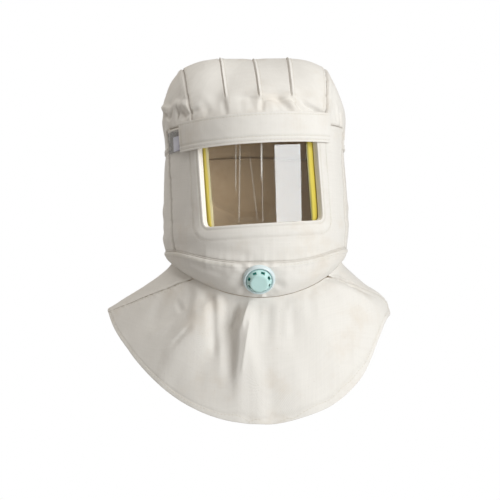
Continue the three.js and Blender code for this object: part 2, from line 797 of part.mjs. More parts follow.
function geometryOf(manifold) {
  const mesh = manifold.getMesh();
  const geometry = new THREE.BufferGeometry();
  geometry.setAttribute("position", new THREE.BufferAttribute(mesh.vertProperties, 3));
  geometry.setIndex(new THREE.BufferAttribute(mesh.triVerts, 1));
  geometry.computeVertexNormals();
  return geometry;
}

function cut(geometry, cutters) {
  const whole = manifoldOf(geometry);
  return geometryOf(cutters.reduce((left, cutter) => left.subtract(manifoldOf(cutter)), whole));
}

// The hole in the chin band that the collar goes through
function valveHole() {
  const cylinder = new THREE.CylinderGeometry(neckRadius + gap, neckRadius + gap, cloth * 6, valveSides);
  cylinder.rotateX(Math.PI / 2);
  const group = valveGroup();
  group.updateMatrix();
  return closed(cylinder.applyMatrix4(group.matrix));
}

function valveCollar() {
  const seat = gap;
  const foot = -cloth - gap - nutHeight;
  const lip = capRadius + gap;
  const bevel = 1.2;
  return turned([
    [boreRadius, foot],
    [neckRadius, foot],
    [neckRadius, seat],
    [collarRadius, seat],
    [collarRadius, collarHeight - bevel],
    [collarRadius - bevel, collarHeight],
    [lip + bevel, collarHeight],
    [lip, collarHeight - bevel],
    [lip, flangeHeight],
    [boreRadius, flangeHeight],
    [boreRadius, foot],
  ]);
}

function valveNut() {
  const high = -cloth - gap;
  const low = high - nutHeight;
  return turned([
    [neckRadius + gap, low],
    [nutRadius, low],
    [nutRadius, high],
    [neckRadius + gap, high],
    [neckRadius + gap, low],
  ]);
}

// A low dome with a flat face and slots through its sloping rim
function valveCap() {
  const base = flangeHeight + gap;
  const flat = capRadius * capFlatShare;
  const brim = base + capHeight * 0.32;
  const crest = base + capHeight;
  const dome = turned([
    [0, crest - capWall],
    [flat - capWall * 0.5, crest - capWall * 1.2],
    [capRadius - capWall, brim - capWall * 0.4],
    [capRadius - capWall, base],
    [capRadius, base],
    [capRadius, brim],
    [flat + 0.8, crest - 0.5],
    [flat - 0.6, crest],
    [0, crest],
  ]);
  const slots = Array.from({ length: slotCount }, (_, k) => {
    const slot = new THREE.BoxGeometry(slotWidth, slotDepth, capHeight * 3);
    slot.translate(0, mix(flat, capRadius, 0.52), crest);
    slot.rotateZ(((k + 0.5) * 2 * Math.PI) / slotCount);
    return closed(slot);
  });
  return cut(dome, slots);
}

// Cape

// The neck end of the cape's line that ends at a turn of the hem
function neckTurnOf(hemTurn) {
  const turn = Math.abs(signedTurn(hemTurn));
  const side = Math.sign(signedTurn(hemTurn));
  const front = turn / shoulderHemTurn;
  const back = (turn - shoulderHemTurn) / (180 - shoulderHemTurn);
  return side * (front < 1 ? front * shoulderNeckTurn : mix(shoulderNeckTurn, 180, back));
}

function hemPoint(turn) {
  const facing = Math.cos(turn * degree);
  const sideways = Math.sin(turn * degree);
  const shoulder = mix(leftShoulderDrop, rightShoulderDrop, (sideways + 1) / 2);
  const tip = neckSide - shoulder;
  const ahead = facing > 0;
  const forward = ahead ? capeFront + capeMiddle : capeBack - capeMiddle;
  const lowest = ahead ? neckFront - capeHeight : neckBack - capeBackHeight;
  const fall = ahead ? along(hemline, "fall", turn) : Math.abs(facing) ** 1.5;
  const z = mix(tip, lowest, fall);
  return new THREE.Vector3((capeWidth / 2) * sideways - capeShift, capeMiddle - forward * facing, z);
}

// How far a fold moves the cloth out, at a hem turn and a share of the way down
function foldLift(fold, hemTurn, down) {
  const width = fold.width * mix(0.75, 1, down);
  const off = signedTurn(hemTurn - mix(fold.from, fold.to, down));
  const steepened = off < 0 ? off * fold.steep : off;
  const strength = hump(down - fold.deepest, fold.reach);
  return fold.rise * strength * hump(steepened, width);
}

// A point of the draped cloth: hem turn in degrees, and down from the neck (0) to the hem (1)
function drape(hemTurn, down) {
  const neckTurn = neckTurnOf(hemTurn);
  const neck = wall(neckTurn, neckSeam(neckTurn) - gap / 2);
  const hem = hemPoint(hemTurn);
  const point = neck.clone().lerp(hem, down);
  const out = new THREE.Vector3(Math.sin(hemTurn * degree), -Math.cos(hemTurn * degree), capeFacing).normalize();
  const swell = capeSwell * along(swells, "rise", signedTurn(hemTurn)) * Math.sin(Math.PI * down);
  const lift = folds.reduce((sum, fold) => sum + foldLift(fold, hemTurn, down), 0);
  const sewn = 0.22; // share of the way down over which the folds grow
  const settled = ease(down / sewn);
  return point.addScaledVector(out, swell + drapeRise * lift * settled);
}

function capeSheet(fromTurn, toTurn, columns) {
  const rows = [1, 0.95, 0.84, 0.72, 0.6, 0.48, 0.36, 0.25, 0.16, 0.08, 0];
  const aside = 0.6;
  const below = 0.02;
  return sheet(steps(fromTurn, toTurn, columns), rows, (u, v, outside) => {
    const here = drape(u, v);
    if (outside) return here;
    const sideStep = drape(u + aside, v).sub(drape(u - aside, v));
    const downStep = drape(u, Math.min(1, v + below)).sub(drape(u, Math.max(0, v - below)));
    const facing = downStep.cross(sideStep).normalize();
    const length = hemPoint(u).distanceTo(drape(u, 0));
    const hemmed = ease(((v - 1) * length + hemWidth) / hemWidth + 0.5);
    return here.addScaledVector(facing, -cloth - hemExtra * hemmed);
  });
}

// Half the clear space at the shoulder seam, in degrees of the hem, widened for its narrower neck end
const seamClearance = (gap / capeWidth / degree) * 1.2;

function capeFrontSheet() {
  const edge = shoulderHemTurn - seamClearance;
  return capeSheet(-edge, edge, 38);
}

function capeBackSheet() {
  const edge = shoulderHemTurn + seamClearance;
  return capeSheet(edge, 360 - edge, 28);
}

// The hood

const canvas = "#dcd6ca";
const paleCanvas = "#e6e1d6";
const clear = "#cfd6d8";
const yellow = "#dcc53c";

const hood = new THREE.Group();
hood.add(solid("crown_top", crownTop(), paleCanvas, 0.9));
hood.add(solid("crown_side_left", crownSide(-1), canvas, 0.9));
hood.add(solid("crown_side_right", crownSide(1), canvas, 0.9));
hood.add(solid("front_panel", frontPanel(), paleCanvas, 0.9));
hood.add(solid("side_panel_left", sidePanel(-1), canvas, 0.9));
hood.add(solid("side_panel_right", sidePanel(1), canvas, 0.9));
hood.add(solid("back_panel", backPanel(), canvas, 0.9));
hood.add(solid("chin_band", cut(chinBand(), [valveHole()]), canvas, 0.9));
hood.add(solid("brow_strap", browStrap(), paleCanvas, 0.9));
hood.add(solid("lens", lens(), clear, 0.1));
hood.add(solid("lens_edge_left", lensEdge(-1), yellow, 0.35));
hood.add(solid("lens_edge_right", lensEdge(1), yellow, 0.35));
hood.add(solid("film_tab", filmTab(), clear, 0.15));
hood.add(solid("pull_tab", pullTab(), "#9a9cab", 0.4));
hood.add(solid("cape_front", capeFrontSheet(), paleCanvas, 0.9));
hood.add(solid("cape_back", capeBackSheet(), canvas, 0.9));

const valve = valveGroup();
valve.add(solid("valve_collar", valveCollar(), "#d6e2e4", 0.35));
valve.add(solid("valve_nut", valveNut(), "#d6e2e4", 0.35));
valve.add(solid("valve_cap", valveCap(), "#a8dcd6", 0.35));
hood.add(valve);

export default hood;
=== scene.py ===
"""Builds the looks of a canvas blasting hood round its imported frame.

Every cloth panel starts from a finer copy of its solid. Seams, tucks, puckers and folds then move its
points, and stitches are laid on the finished cloth.
"""
import math

import bmesh
import bpy
import numpy as np
from bpy.props import FloatProperty, FloatVectorProperty, PointerProperty
from mathutils import Matrix, Vector, noise
from mathutils.bvhtree import BVHTree


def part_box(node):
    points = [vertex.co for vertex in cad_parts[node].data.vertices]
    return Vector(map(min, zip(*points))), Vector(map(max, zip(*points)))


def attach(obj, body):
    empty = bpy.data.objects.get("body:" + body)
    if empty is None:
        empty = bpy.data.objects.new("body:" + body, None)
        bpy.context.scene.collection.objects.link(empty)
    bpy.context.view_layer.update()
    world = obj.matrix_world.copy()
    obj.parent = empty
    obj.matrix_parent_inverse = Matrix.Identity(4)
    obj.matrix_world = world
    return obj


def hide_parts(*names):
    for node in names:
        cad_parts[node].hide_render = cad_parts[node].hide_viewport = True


bl_info = {
    "name": "Sandblasting hood",
    "version": (1, 0, 0),
    "blender": (4, 5, 0),
    "location": "3D View > Sidebar > Hood",
    "description": "Canvas blasting hood with a window, a brow strap, an exhaust valve and a cape",
    "category": "Object",
}

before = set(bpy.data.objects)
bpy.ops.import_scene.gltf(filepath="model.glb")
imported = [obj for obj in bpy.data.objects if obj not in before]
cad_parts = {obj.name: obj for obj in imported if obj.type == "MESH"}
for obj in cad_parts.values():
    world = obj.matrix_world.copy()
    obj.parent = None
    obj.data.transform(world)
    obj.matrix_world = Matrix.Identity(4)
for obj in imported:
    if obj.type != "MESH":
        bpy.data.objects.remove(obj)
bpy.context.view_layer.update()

MM = 0.001
DEGREE = math.pi / 180

# How often each face is split in four: for cloth, and for the window's stiff pieces
CLOTH_LEVELS = 3
STIFF_LEVELS = 2

# Seams of the helmet, the same as in the solids
BROW_SEAM = -0.1035
TEMPLE_DROP = 0.0295
NAPE_DROP = 0.0205
CHIN_SEAM = -0.278
CHEEK_RISE = 0.0155
PANEL_TURN = 64
SIDE_TURN = 118
FACE_DEPTH = 0.132
BACK_DEPTH = 0.127
HALF_WIDTH = 0.1255
CORNER_FRONT = 0.0845
CORNER_TOP = 0.097
TUCK_SHARE = 0.475
TUCKS_END = BROW_SEAM + 0.0315
CORE_HEIGHT = BROW_SEAM - TEMPLE_DROP
CORNER_START = 17  # degrees above level at the front, where a corner seam of the crown begins
CORNER_SWEEP = 161.7  # and how many degrees it runs over the crown
CROWN_RADIUS = 0.12

# Window in the front panel
WINDOW_HALF = 0.082
WINDOW_TOP = BROW_SEAM - 0.0205
WINDOW_BOTTOM = CHIN_SEAM + 0.048
WINDOW_MIDDLE = (WINDOW_TOP + WINDOW_BOTTOM) / 2
WINDOW_CORNER = 0.007
BROW_SLOPE = math.tan(2.5 * DEGREE)  # window and strap climb towards +X
SIDE_SLOPE = math.tan(4.5 * DEGREE)  # the panel's upright lines lean towards -X
# Sewn lines round the window: distance from its edge, and depth of the dent
WINDOW_ROWS = [(4 * MM, 0.5 * MM), (17 * MM, 0.7 * MM)]

# Strap
STRAP_TOP = BROW_SEAM + 0.009
STRAP_BOTTOM = STRAP_TOP - 0.0375
STRAP_LEFT = -51
STRAP_RIGHT = 44
# Sewn rows along the strap: distance above its lower edge, and depth of the dent in mm
STRAP_ROWS = [(3 * MM, 0.55), (8 * MM, 0.7), (34.5 * MM, 0.25)]
STRAP_END_ROW = 5 * MM  # distance of the sewn end from the strap's left end

# Valve
VALVE_TILT = 27
VALVE_TURN = -2.6
VALVE_CLEARANCE = 11  # degrees at either side of the valve that stay free of stitches

# Cape
CAPE_HALF = 0.196
CAPE_AHEAD = 0.1675
CAPE_BEHIND = 0.130
CAPE_MIDDLE = Vector((-0.0105, 0.02, 0))
NECK_RADIUS = 0.117
HEM = 0.0045  # width of the hem along the cloth
HEM_STEP = 3  # degrees between two places where the hem is measured
CAPE_CLOTH = 0.15  # length of its cloth from the neck to the hem
CAPE_SLOPE = 0.53  # outward run of the cape for each step down its cloth
CAPE_FACING = 0.6  # rise of the cape's outward direction for each step out
# The seam over each shoulder: share of the way down, and turn in degrees
SHOULDER_LINE = [
    (0, 48), (0.11, 55.9), (0.19, 59.7), (0.3, 63.8), (0.42, 67.7), (0.54, 71.1), (0.68, 74.1),
    (0.81, 76.8), (0.94, 79.1), (1, 80),
]

# Stitches: distance of a row from its seam. Tape: its radius, and its places beside and behind a seam
SEAM_ROW = 4 * MM
PANEL_ROW = 3.5 * MM
TAPE_RADIUS = 1.5 * MM
TAPE_BESIDE = 3 * MM
TAPE_BEHIND = 2.1 * MM
# The darker line at a seam is partly dirt and partly painted shade in its groove.
SEAM_TINT = 1.8 * MM  # width of the darker line at a seam
WALL_PIECES = (
    "front_panel_cloth", "side_panel_left_cloth", "side_panel_right_cloth", "back_panel_cloth",
    "chin_band_cloth", "crown_side_left_cloth", "crown_side_right_cloth", "crown_top_cloth",
)
CAPE_PIECES = ("cape_front_cloth", "cape_back_cloth")

# Folds of the helmet, each along a line from one turn in degrees and height in mm to another. Width and
# rise are in mm. A steepness over 1 makes a fold fall sharply on its right, looking along it from its start.
HELMET_FOLDS = [
    ((-61, -71), (-46, -79), 6, 3.2, 1),
    ((-53, -82), (-48, -90), 8, -3.6, 1),
    ((-56.5, -73), (-54.5, -97), 3, -3.2, 1.4),
    ((-73, -79), (-63.5, -89), 3, -2.6, 1),
    ((-60, -79), (-63, -90), 3, -2.4, 1),
    ((-67, -84), (-65, -97), 5, 2.2, 1),
    ((-76, -72), (-63, -79), 5, 4, 1),
    ((-64, -92), (-66, -128), 4, 1.8, 1.6),
    ((-78, -60), (-72, -76), 9, 1.6, 1),
    ((-46, -92), (-38, -84), 5, -1.6, 1),
    ((-36, -76), (-30, -92), 6, -1.4, 1),
    ((-22, -78), (-20, -92), 5, -1.3, 1),
    ((-9, -76), (-7, -91), 6, 1.2, 1),
    ((1.2, -76), (0.4, -92), 4.5, -2.4, 1),
    ((6.5, -75), (7.3, -92), 6.5, 1.6, 1),
    ((12, -74), (16.5, -91), 5, -2.2, 1),
    ((17, -75), (21.5, -91), 5, 1.6, 1),
    ((20.5, -74), (26, -90), 4.5, -3, 1),
    ((27, -78), (36, -89), 4.5, -3, 1),
    ((35, -88), (44, -94), 3.5, -3, 1),
    ((30, -76), (40, -86), 5, 2, 1),
    ((46, -70), (44, -88), 6, 1.4, 1),
    ((57, -76), (57, -98), 5, 1.5, 1),
    ((60, -84), (60.5, -100), 3, -2.4, 1),
    ((66, -112), (66, -130), 5, 1.2, 1),
    ((-92, -120), (-88, -136), 8, -1.4, 1),
    ((-72, -215), (-100, -205), 9, 1.2, 1),
    ((-70, -240), (-98, -236), 6, -1.2, 1),
    ((72, -205), (96, -214), 8, 1, 1),
    ((76, -238), (104, -240), 7, -1, 1),
    ((-30, -262), (-6, -270), 7, -1.1, 1),
    ((10, -262), (38, -255), 7, 0.9, 1),
    ((-50, -268), (-26, -284), 6, 1.4, 1),
    ((-44, -276), (-22, -292), 5, -1.4, 1),
    ((14, -284), (34, -272), 6, 1.3, 1),
    ((18, -296), (40, -284), 6, -1.2, 1),
    ((134, -150), (150, -190), 12, 1.4, 1),
    ((-140, -160), (-160, -214), 14, -1.5, 1),
    ((170, -228), (-172, -250), 14, 1.4, 1),
]

# Folds of the inner face behind the window, with the same columns
LINING_FOLDS = [
    ((-146, -172), (-154, -197), 6, -5, 1),
    ((-154, -197), (-170, -212), 6, -5.5, 1),
    ((-170, -212), (-188, -211), 6, -4.5, 1),
]

# Folds of the cape along a line from one hem turn in degrees and share of the way down to another
CAPE_FOLDS = [
    ((-15.5, 0), (-8, 0.86), 9, 2.9, 1.6),
    ((-20, 0), (-12.5, 0.7), 9, -4.6, 1),
    ((-33, 0.06), (-22, 0.44), 10, -2.6, 1.2),
    ((-28, 0.04), (-19, 0.5), 6, 2, 1),
    ((-41, 0.06), (-34, 0.4), 8, 2, 1),
    ((-49, 0.26), (-44, 0.32), 5, -1.3, 1),
    ((-33, 0.54), (-38, 0.7), 5, -1.6, 1.4),
    ((-46, 0.5), (-50, 0.72), 7, 1, 1),
    ((-62, 0.15), (-56, 0.6), 9, -1.4, 1),
    ((4, 0.02), (3, 0.4), 8, -2, 1),
    ((14, 0.02), (12, 0.36), 7, 1.6, 1),
    ((30, 0.02), (26, 0.42), 8, -1.6, 1),
    ((44, 0.05), (46, 0.6), 9, 1.4, 1),
    ((62, 0.04), (60, 0.4), 7, -1.6, 1),
    ((-3, 0.6), (2, 1), 12, 1.6, 1),
    ((34, 0.62), (38, 1), 12, -1.4, 1),
    ((-36, 0.75), (-38, 1), 12, 1.4, 1),
    ((100, 0.05), (104, 0.7), 10, 2, 1),
    ((128, 0.02), (124, 0.7), 10, -2.4, 1),
    ((146, 0.02), (150, 0.8), 10, 2.6, 1.4),
    ((168, 0.02), (166, 0.7), 9, -2.4, 1),
    ((-172, 0.02), (-175, 0.8), 10, 2.4, 1),
    ((-150, 0.02), (-152, 0.7), 9, -2.4, 1),
    ((-128, 0.02), (-124, 0.75), 10, 2.2, 1.3),
    ((-104, 0.04), (-100, 0.6), 10, -1.8, 1),
]


def ease(share):
    """From 0 to 1, level at both ends."""
    t = np.clip(share, 0, 1)
    return t * t * (3 - 2 * t)


def mix(start, end, share):
    return start + (end - start) * share


def hump(distance, reach):
    """1 at no distance, 0 from reach on."""
    return 1 - ease(np.abs(distance) / reach)


def bell(distance, width):
    """1 at no distance, and a little over a third at the width."""
    return np.exp(-((distance / width) ** 2))


def level_with(turn):
    """The outward level direction at a turn from the middle of the face."""
    return Vector((math.sin(turn * DEGREE), -math.cos(turn * DEGREE), 0))


# Seams, as heights at a turn in degrees from the middle of the face


def crown_seam(turn):
    backward = ease((np.abs(turn) - SIDE_TURN) / (180 - SIDE_TURN))
    return BROW_SEAM - mix(TEMPLE_DROP, NAPE_DROP, backward)


def chin_seam(turn):
    return CHIN_SEAM + CHEEK_RISE * ease((np.abs(turn) - 10) / (PANEL_TURN - 10))


def lean_turn(height):
    middle = (BROW_SEAM + CHIN_SEAM) / 2
    return -np.degrees(SIDE_SLOPE * (height - middle) / FACE_DEPTH)


def panel_edge(side, height):
    taper = np.where(np.asarray(side) < 0, 1.9, -0.3)
    return side * PANEL_TURN + taper * lean_turn(height)


def corner_half(share):
    return mix(CORNER_FRONT, CORNER_TOP, np.sin(np.pi * np.clip(share, 0, 1)))


def window_gap(arc, height):
    """Distance from the window's outline, in metres along the panel, and below 0 inside it."""
    tall = (WINDOW_TOP - WINDOW_BOTTOM) / 2
    across = np.abs(arc) - WINDOW_HALF + WINDOW_CORNER
    up = np.abs(height - WINDOW_MIDDLE - arc * BROW_SLOPE) - tall + WINDOW_CORNER
    outside = np.hypot(np.maximum(across, 0), np.maximum(up, 0))
    return outside + np.minimum(np.maximum(across, up), 0) - WINDOW_CORNER


def window_arc(turn, height):
    return np.radians(turn - lean_turn(height) + lean_turn(WINDOW_MIDDLE)) * FACE_DEPTH


# Places of points on the cloth


class Places:
    """Where many points of the helmet lie: turn, height, and their outward direction."""

    def __init__(self, co):
        self.co = co
        x, y, self.height = co[:, 0], co[:, 1], co[:, 2]
        self.turn = np.degrees(np.arctan2(x, -y))
        depth = np.where(y < 0, FACE_DEPTH, BACK_DEPTH)
        climb = np.clip((self.height - CORE_HEIGHT) / -CORE_HEIGHT, 0, 1)
        out = np.stack([x / HALF_WIDTH**2, y / depth**2, climb**1.6 * 9], axis=1)
        self.out = out / np.linalg.norm(out, axis=1, keepdims=True)
        self.angle = np.degrees(np.arctan2(self.height - CORE_HEIGHT, -y))
        self.share = (self.angle - CORNER_START) / CORNER_SWEEP
        self.side = np.where(x < 0, -1, 1)


def soft_noise(co, size, seed, stretch=(1, 1, 1)):
    """Smooth uneven values from about -1 to 1, of a size in metres."""
    scale = Vector(stretch) / size
    shift = Vector((seed * 7.3, seed * 3.1, seed * 5.7))
    return np.array([noise.noise(Vector(p) * scale + shift) for p in co])


def seam_relief(distance, along, seed, welt_side, sizes):
    """A seam's groove, the ridge of turned-in cloth beside it, and puckers across it."""
    groove = -sizes.groove * bell(distance, 1.3 * MM)
    beside = distance * welt_side
    ridge = sizes.welt * ease((beside - 0.4 * MM) / (1.4 * MM)) * (1 - ease((beside - 5 * MM) / (3 * MM)))
    wave = np.sin(along / (1.5 * MM) + seed) + 0.8 * np.sin(along / (2.3 * MM) + 2.1 * seed)
    wave = wave + 0.9 * np.sin(along / (4.1 * MM) + 0.7 * seed)
    off = np.abs(distance)
    pucker = sizes.pucker * wave * np.exp(-off / (8 * MM)) * ease(off / (1 * MM))
    return groove + ridge + pucker


def line_fold(flat, start, end, width, rise, steep):
    """The lift of one fold along a line of flattened cloth, in metres."""
    start, end = np.array(start), np.array(end)
    length = np.linalg.norm(end - start)
    along = (end - start) / length
    offset = flat - start
    lengthwise = offset @ along
    crosswise = offset @ np.array([along[1], -along[0]])
    crosswise = np.where(crosswise > 0, crosswise * steep, crosswise)
    reach = width * MM * 1.5
    begun = ease((lengthwise + reach) / (0.25 * length + reach))
    left = ease((length + reach - lengthwise) / (0.3 * length + reach))
    return rise * MM * begun * left * hump(crosswise, reach)


def wall_flat(turn, height):
    """The helmet's wall laid flat, in metres."""
    return np.stack([np.radians(turn) * FACE_DEPTH, height], axis=-1)


def cape_flat(turn, down):
    """The cape's cone laid flat, in metres."""
    radius = (NECK_RADIUS + (CAPE_HALF - NECK_RADIUS) * down) / CAPE_SLOPE
    angle = np.radians(turn) * CAPE_SLOPE
    return np.stack([radius * np.sin(angle), -radius * np.cos(angle)], axis=-1)


def shoulder_turn(down):
    return np.interp(down, [share for share, _ in SHOULDER_LINE], [turn for _, turn in SHOULDER_LINE])


def shoulder_distance(turn, down):
    """Distance behind the shoulder seam, in metres."""
    return np.radians(np.abs(turn) - shoulder_turn(down)) * mix(NECK_RADIUS, CAPE_HALF, down)


def folds_lift(folds, turn, along, lay_flat, unit=1):
    """The lift of a table's folds on a cloth that lay_flat flattens. Unit is that of its second places."""
    total = np.zeros(len(turn))
    for start, end, width, rise, steep in folds:
        near = (start[0] + end[0]) / 2
        flat = lay_flat(turn - 360 * np.round((turn - near) / 360), along)
        ends = [lay_flat(at, place * unit) for at, place in (start, end)]
        total = total + line_fold(flat, *ends, width, rise, steep)
    return total


def helmet_lift(places, sizes):
    """How far the helmet's cloth moves out, and how close each point is to a seam."""
    turn, height, side = places.turn, places.height, places.side
    arc = np.radians(turn) * FACE_DEPTH
    total = np.zeros(len(turn))
    closeness = np.zeros(len(turn))

    def add(distance, along, seed, welt_side, where=1.0):
        nonlocal total, closeness
        total = total + seam_relief(distance, along, seed, welt_side, sizes) * where
        closeness = np.maximum(closeness, bell(distance, SEAM_TINT) * where)

    panel_gap = np.radians(side * (turn - panel_edge(side, height))) * FACE_DEPTH
    above_chin = ease((height - chin_seam(turn)) / (2 * MM))
    in_wall = ease((crown_seam(turn) + 31 * MM - height) / (2 * MM)) * above_chin
    add(height - chin_seam(turn), arc, 1, -1)
    behind_panel = ease((np.abs(turn) - PANEL_TURN) / 1.5 + 0.5)
    add(height - crown_seam(turn), arc, 2, 1, behind_panel)
    add(height - BROW_SEAM, arc, 3, -1, 1 - behind_panel)
    below_brow = ease((BROW_SEAM - height) / (2 * MM) + 0.5)
    add(panel_gap, height, 4, 1, in_wall * below_brow)
    back_gap = np.radians(np.abs(turn) - SIDE_TURN) * BACK_DEPTH
    below_crown = ease((crown_seam(turn) - height) / (2 * MM) + 0.5)
    add(back_gap, height, 5, -1, in_wall * below_crown)
    corner_gap = np.abs(places.co[:, 0]) - corner_half(places.share)
    on_crown = ease((height - crown_seam(turn)) / (6 * MM)) * ease((height + 0.1) / 0.01 + 0.5)
    add(corner_gap, np.radians(places.angle) * CROWN_RADIUS, 6, 1, on_crown)
    return total + folds_lift(HELMET_FOLDS, turn, height, wall_flat, MM), closeness


def vectors_of(items, name):
    """One vector of each point or face, such as its place or its normal."""
    values = np.empty(len(items) * 3)
    items.foreach_get(name, values)
    return values.reshape(-1, 3)


def points_of(mesh):
    return vectors_of(mesh.vertices, "co")


def move_points(mesh, co):
    mesh.vertices.foreach_set("co", co.ravel())
    mesh.update()


def smooth(data):
    data.polygons.foreach_set("use_smooth", [True] * len(data.polygons))


def data_from(mesh, name):
    """Turns a bmesh into the mesh of a piece, and frees it."""
    data = bpy.data.meshes.new(name)
    mesh.to_mesh(data)
    mesh.free()
    return data


def sharp_edges(mesh, degrees):
    return [e for e in mesh.edges if len(e.link_faces) == 2 and e.calc_face_angle() > degrees * DEGREE]


def round_edges(mesh, edges, radius, segments):
    bmesh.ops.bevel(
        mesh, geom=edges, offset=radius, offset_type="OFFSET", affect="EDGES", segments=segments,
        profile=0.5, material=-1, clamp_overlap=True,
    )


def link(piece):
    bpy.context.scene.collection.objects.link(piece)
    return piece


def finished(piece):
    """Applies a piece's modifiers."""
    depsgraph = bpy.context.evaluated_depsgraph_get()
    data = bpy.data.meshes.new_from_object(piece.evaluated_get(depsgraph))
    piece.modifiers.clear()
    piece.data = data
    data.name = piece.name
    smooth(data)
    return piece


def finer_copy(node, name, levels, rounding=0.5 * MM):
    """A copy of a CAD node with rounded rims and finer faces."""
    mesh = bmesh.new()
    mesh.from_mesh(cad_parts[node].data)
    bmesh.ops.remove_doubles(mesh, verts=mesh.verts, dist=0.01 * MM)
    bmesh.ops.join_triangles(
        mesh, faces=mesh.faces, angle_face_threshold=math.pi, angle_shape_threshold=math.pi
    )
    crease = mesh.edges.layers.float.new("crease_edge")
    sharp = sharp_edges(mesh, 55)
    if rounding:
        round_edges(mesh, sharp, rounding, 1)
    else:
        for edge in sharp:
            edge[crease] = 1
    data = data_from(mesh, name)
    for extra in ("custom_normal", "sharp_face", "sharp_edge"):
        if extra in data.attributes:
            data.attributes.remove(data.attributes[extra])
    piece = link(bpy.data.objects.new(name, data))
    finer = piece.modifiers.new("Finer cloth", "SUBSURF")
    finer.levels = finer.render_levels = levels
    return finished(piece)


def inward_faces(mesh, out_of):
    """Marks which faces look inward, given the outward direction at each point."""
    out = out_of(vectors_of(mesh.polygons, "center"))
    return (out * vectors_of(mesh.polygons, "normal")).sum(axis=1) < -0.6


def canvas_on_both_sides(mesh, out_of):
    """Gives the faces that look inward the inside's darker cloth, painted shade for the dim inside, and the
    others the outside's.
    """
    inward = inward_faces(mesh, out_of)
    mesh.materials.clear()
    mesh.materials.append(materials["canvas"])
    mesh.materials.append(materials["canvas_inside"])
    mesh.polygons.foreach_set("material_index", inward.astype(np.int32))


def wall_out(co):
    return Places(co).out


def add_uv(mesh, uv):
    """A UV map from a pair of numbers for each point, in metres of cloth."""
    layer = mesh.uv_layers.new(name="cloth")
    corners = np.empty(len(mesh.loops), dtype=np.int64)
    mesh.loops.foreach_get("vertex_index", corners)
    layer.data.foreach_set("uv", uv[corners].ravel())


def add_values(mesh, name, values):
    attribute = mesh.attributes.new(name, "FLOAT", "POINT")
    attribute.data.foreach_set("value", values)


def helmet_cloth(node, rounding=0.5 * MM, own_lift=None):
    """The finished cloth of one panel of the helmet."""
    sizes = bpy.context.scene.hood_sizes
    piece = finer_copy(node, node + "_cloth", CLOTH_LEVELS, rounding)
    mesh = piece.data
    places = Places(points_of(mesh))
    lift, closeness = helmet_lift(places, sizes)
    lift = lift + sizes.uneven * (soft_noise(places.co, 0.045, 1) + 0.35 * soft_noise(places.co, 0.013, 2))
    if own_lift:
        lift, closeness = own_lift(places, lift, closeness)
    inner = (vectors_of(mesh.vertices, "normal") * places.out).sum(axis=1) < -0.3
    lift = lift + folds_lift(LINING_FOLDS, places.turn, places.height, wall_flat, MM) * inner
    move_points(mesh, places.co + places.out * lift[:, None])
    over = np.where(places.height > CORE_HEIGHT, CROWN_RADIUS * np.radians(places.angle), 0)
    add_uv(mesh, wall_flat(places.turn, places.height - over))
    add_values(mesh, "seam", closeness)
    canvas_on_both_sides(mesh, wall_out)
    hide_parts(node)
    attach(piece, "root")
    return piece


# Materials

materials = {}


class Nodes:
    """Short ways to place and join shader nodes in a tree."""

    def __init__(self, tree):
        self.tree = tree

    def fill(self, node, inputs):
        for name, value in inputs.items():
            if isinstance(value, bpy.types.NodeSocket):
                self.tree.links.new(value, node.inputs[name])
            else:
                node.inputs[name].default_value = value

    def add(self, kind, inputs=None, **settings):
        node = self.tree.nodes.new(kind)
        for name, value in settings.items():
            setattr(node, name, value)
        self.fill(node, inputs or {})
        return node

    def math(self, operation, first, second=0.0, third=0.0):
        return self.add("ShaderNodeMath", {0: first, 1: second, 2: third}, operation=operation).outputs[0]

    def blend(self, share, first, second):
        return self.add("ShaderNodeMix", {0: share, 6: first, 7: second}, data_type="RGBA").outputs[2]

    def ramp(self, value, low, high, floor=0.0, ceiling=1.0):
        inputs = {"Value": value, 1: low, 2: high, 3: floor, 4: ceiling}
        return self.add("ShaderNodeMapRange", inputs, interpolation_type="SMOOTHSTEP").outputs[0]

    def noise(self, vector, scale, detail=2.0, roughness=0.5):
        inputs = {"Vector": vector, "Scale": scale, "Detail": detail, "Roughness": roughness}
        return self.add("ShaderNodeTexNoise", inputs).outputs["Fac"]

    def stretched(self, vector, scale):
        return self.add("ShaderNodeMapping", {"Vector": vector, "Scale": scale}).outputs[0]

    def place(self):
        return self.add("ShaderNodeTexCoord").outputs["Object"]

    def value(self, name):
        return self.add("ShaderNodeAttribute", attribute_name=name).outputs["Fac"]

    def bump(self, strength, distance, height):
        inputs = {"Strength": strength, "Distance": distance, "Height": height}
        return self.add("ShaderNodeBump", inputs).outputs[0]


def node_group(name, inputs, outputs):
    tree = bpy.data.node_groups.new(name, "ShaderNodeTree")
    for label, kind, value in inputs:
        socket = tree.interface.new_socket(label, in_out="INPUT", socket_type=kind)
        if value is not None:
            socket.default_value = value
    for label, kind in outputs:
        tree.interface.new_socket(label, in_out="OUTPUT", socket_type=kind)
    nodes = Nodes(tree)
    given = nodes.add("NodeGroupInput").outputs
    result = nodes.add("NodeGroupOutput").inputs
    return tree, nodes, given, result


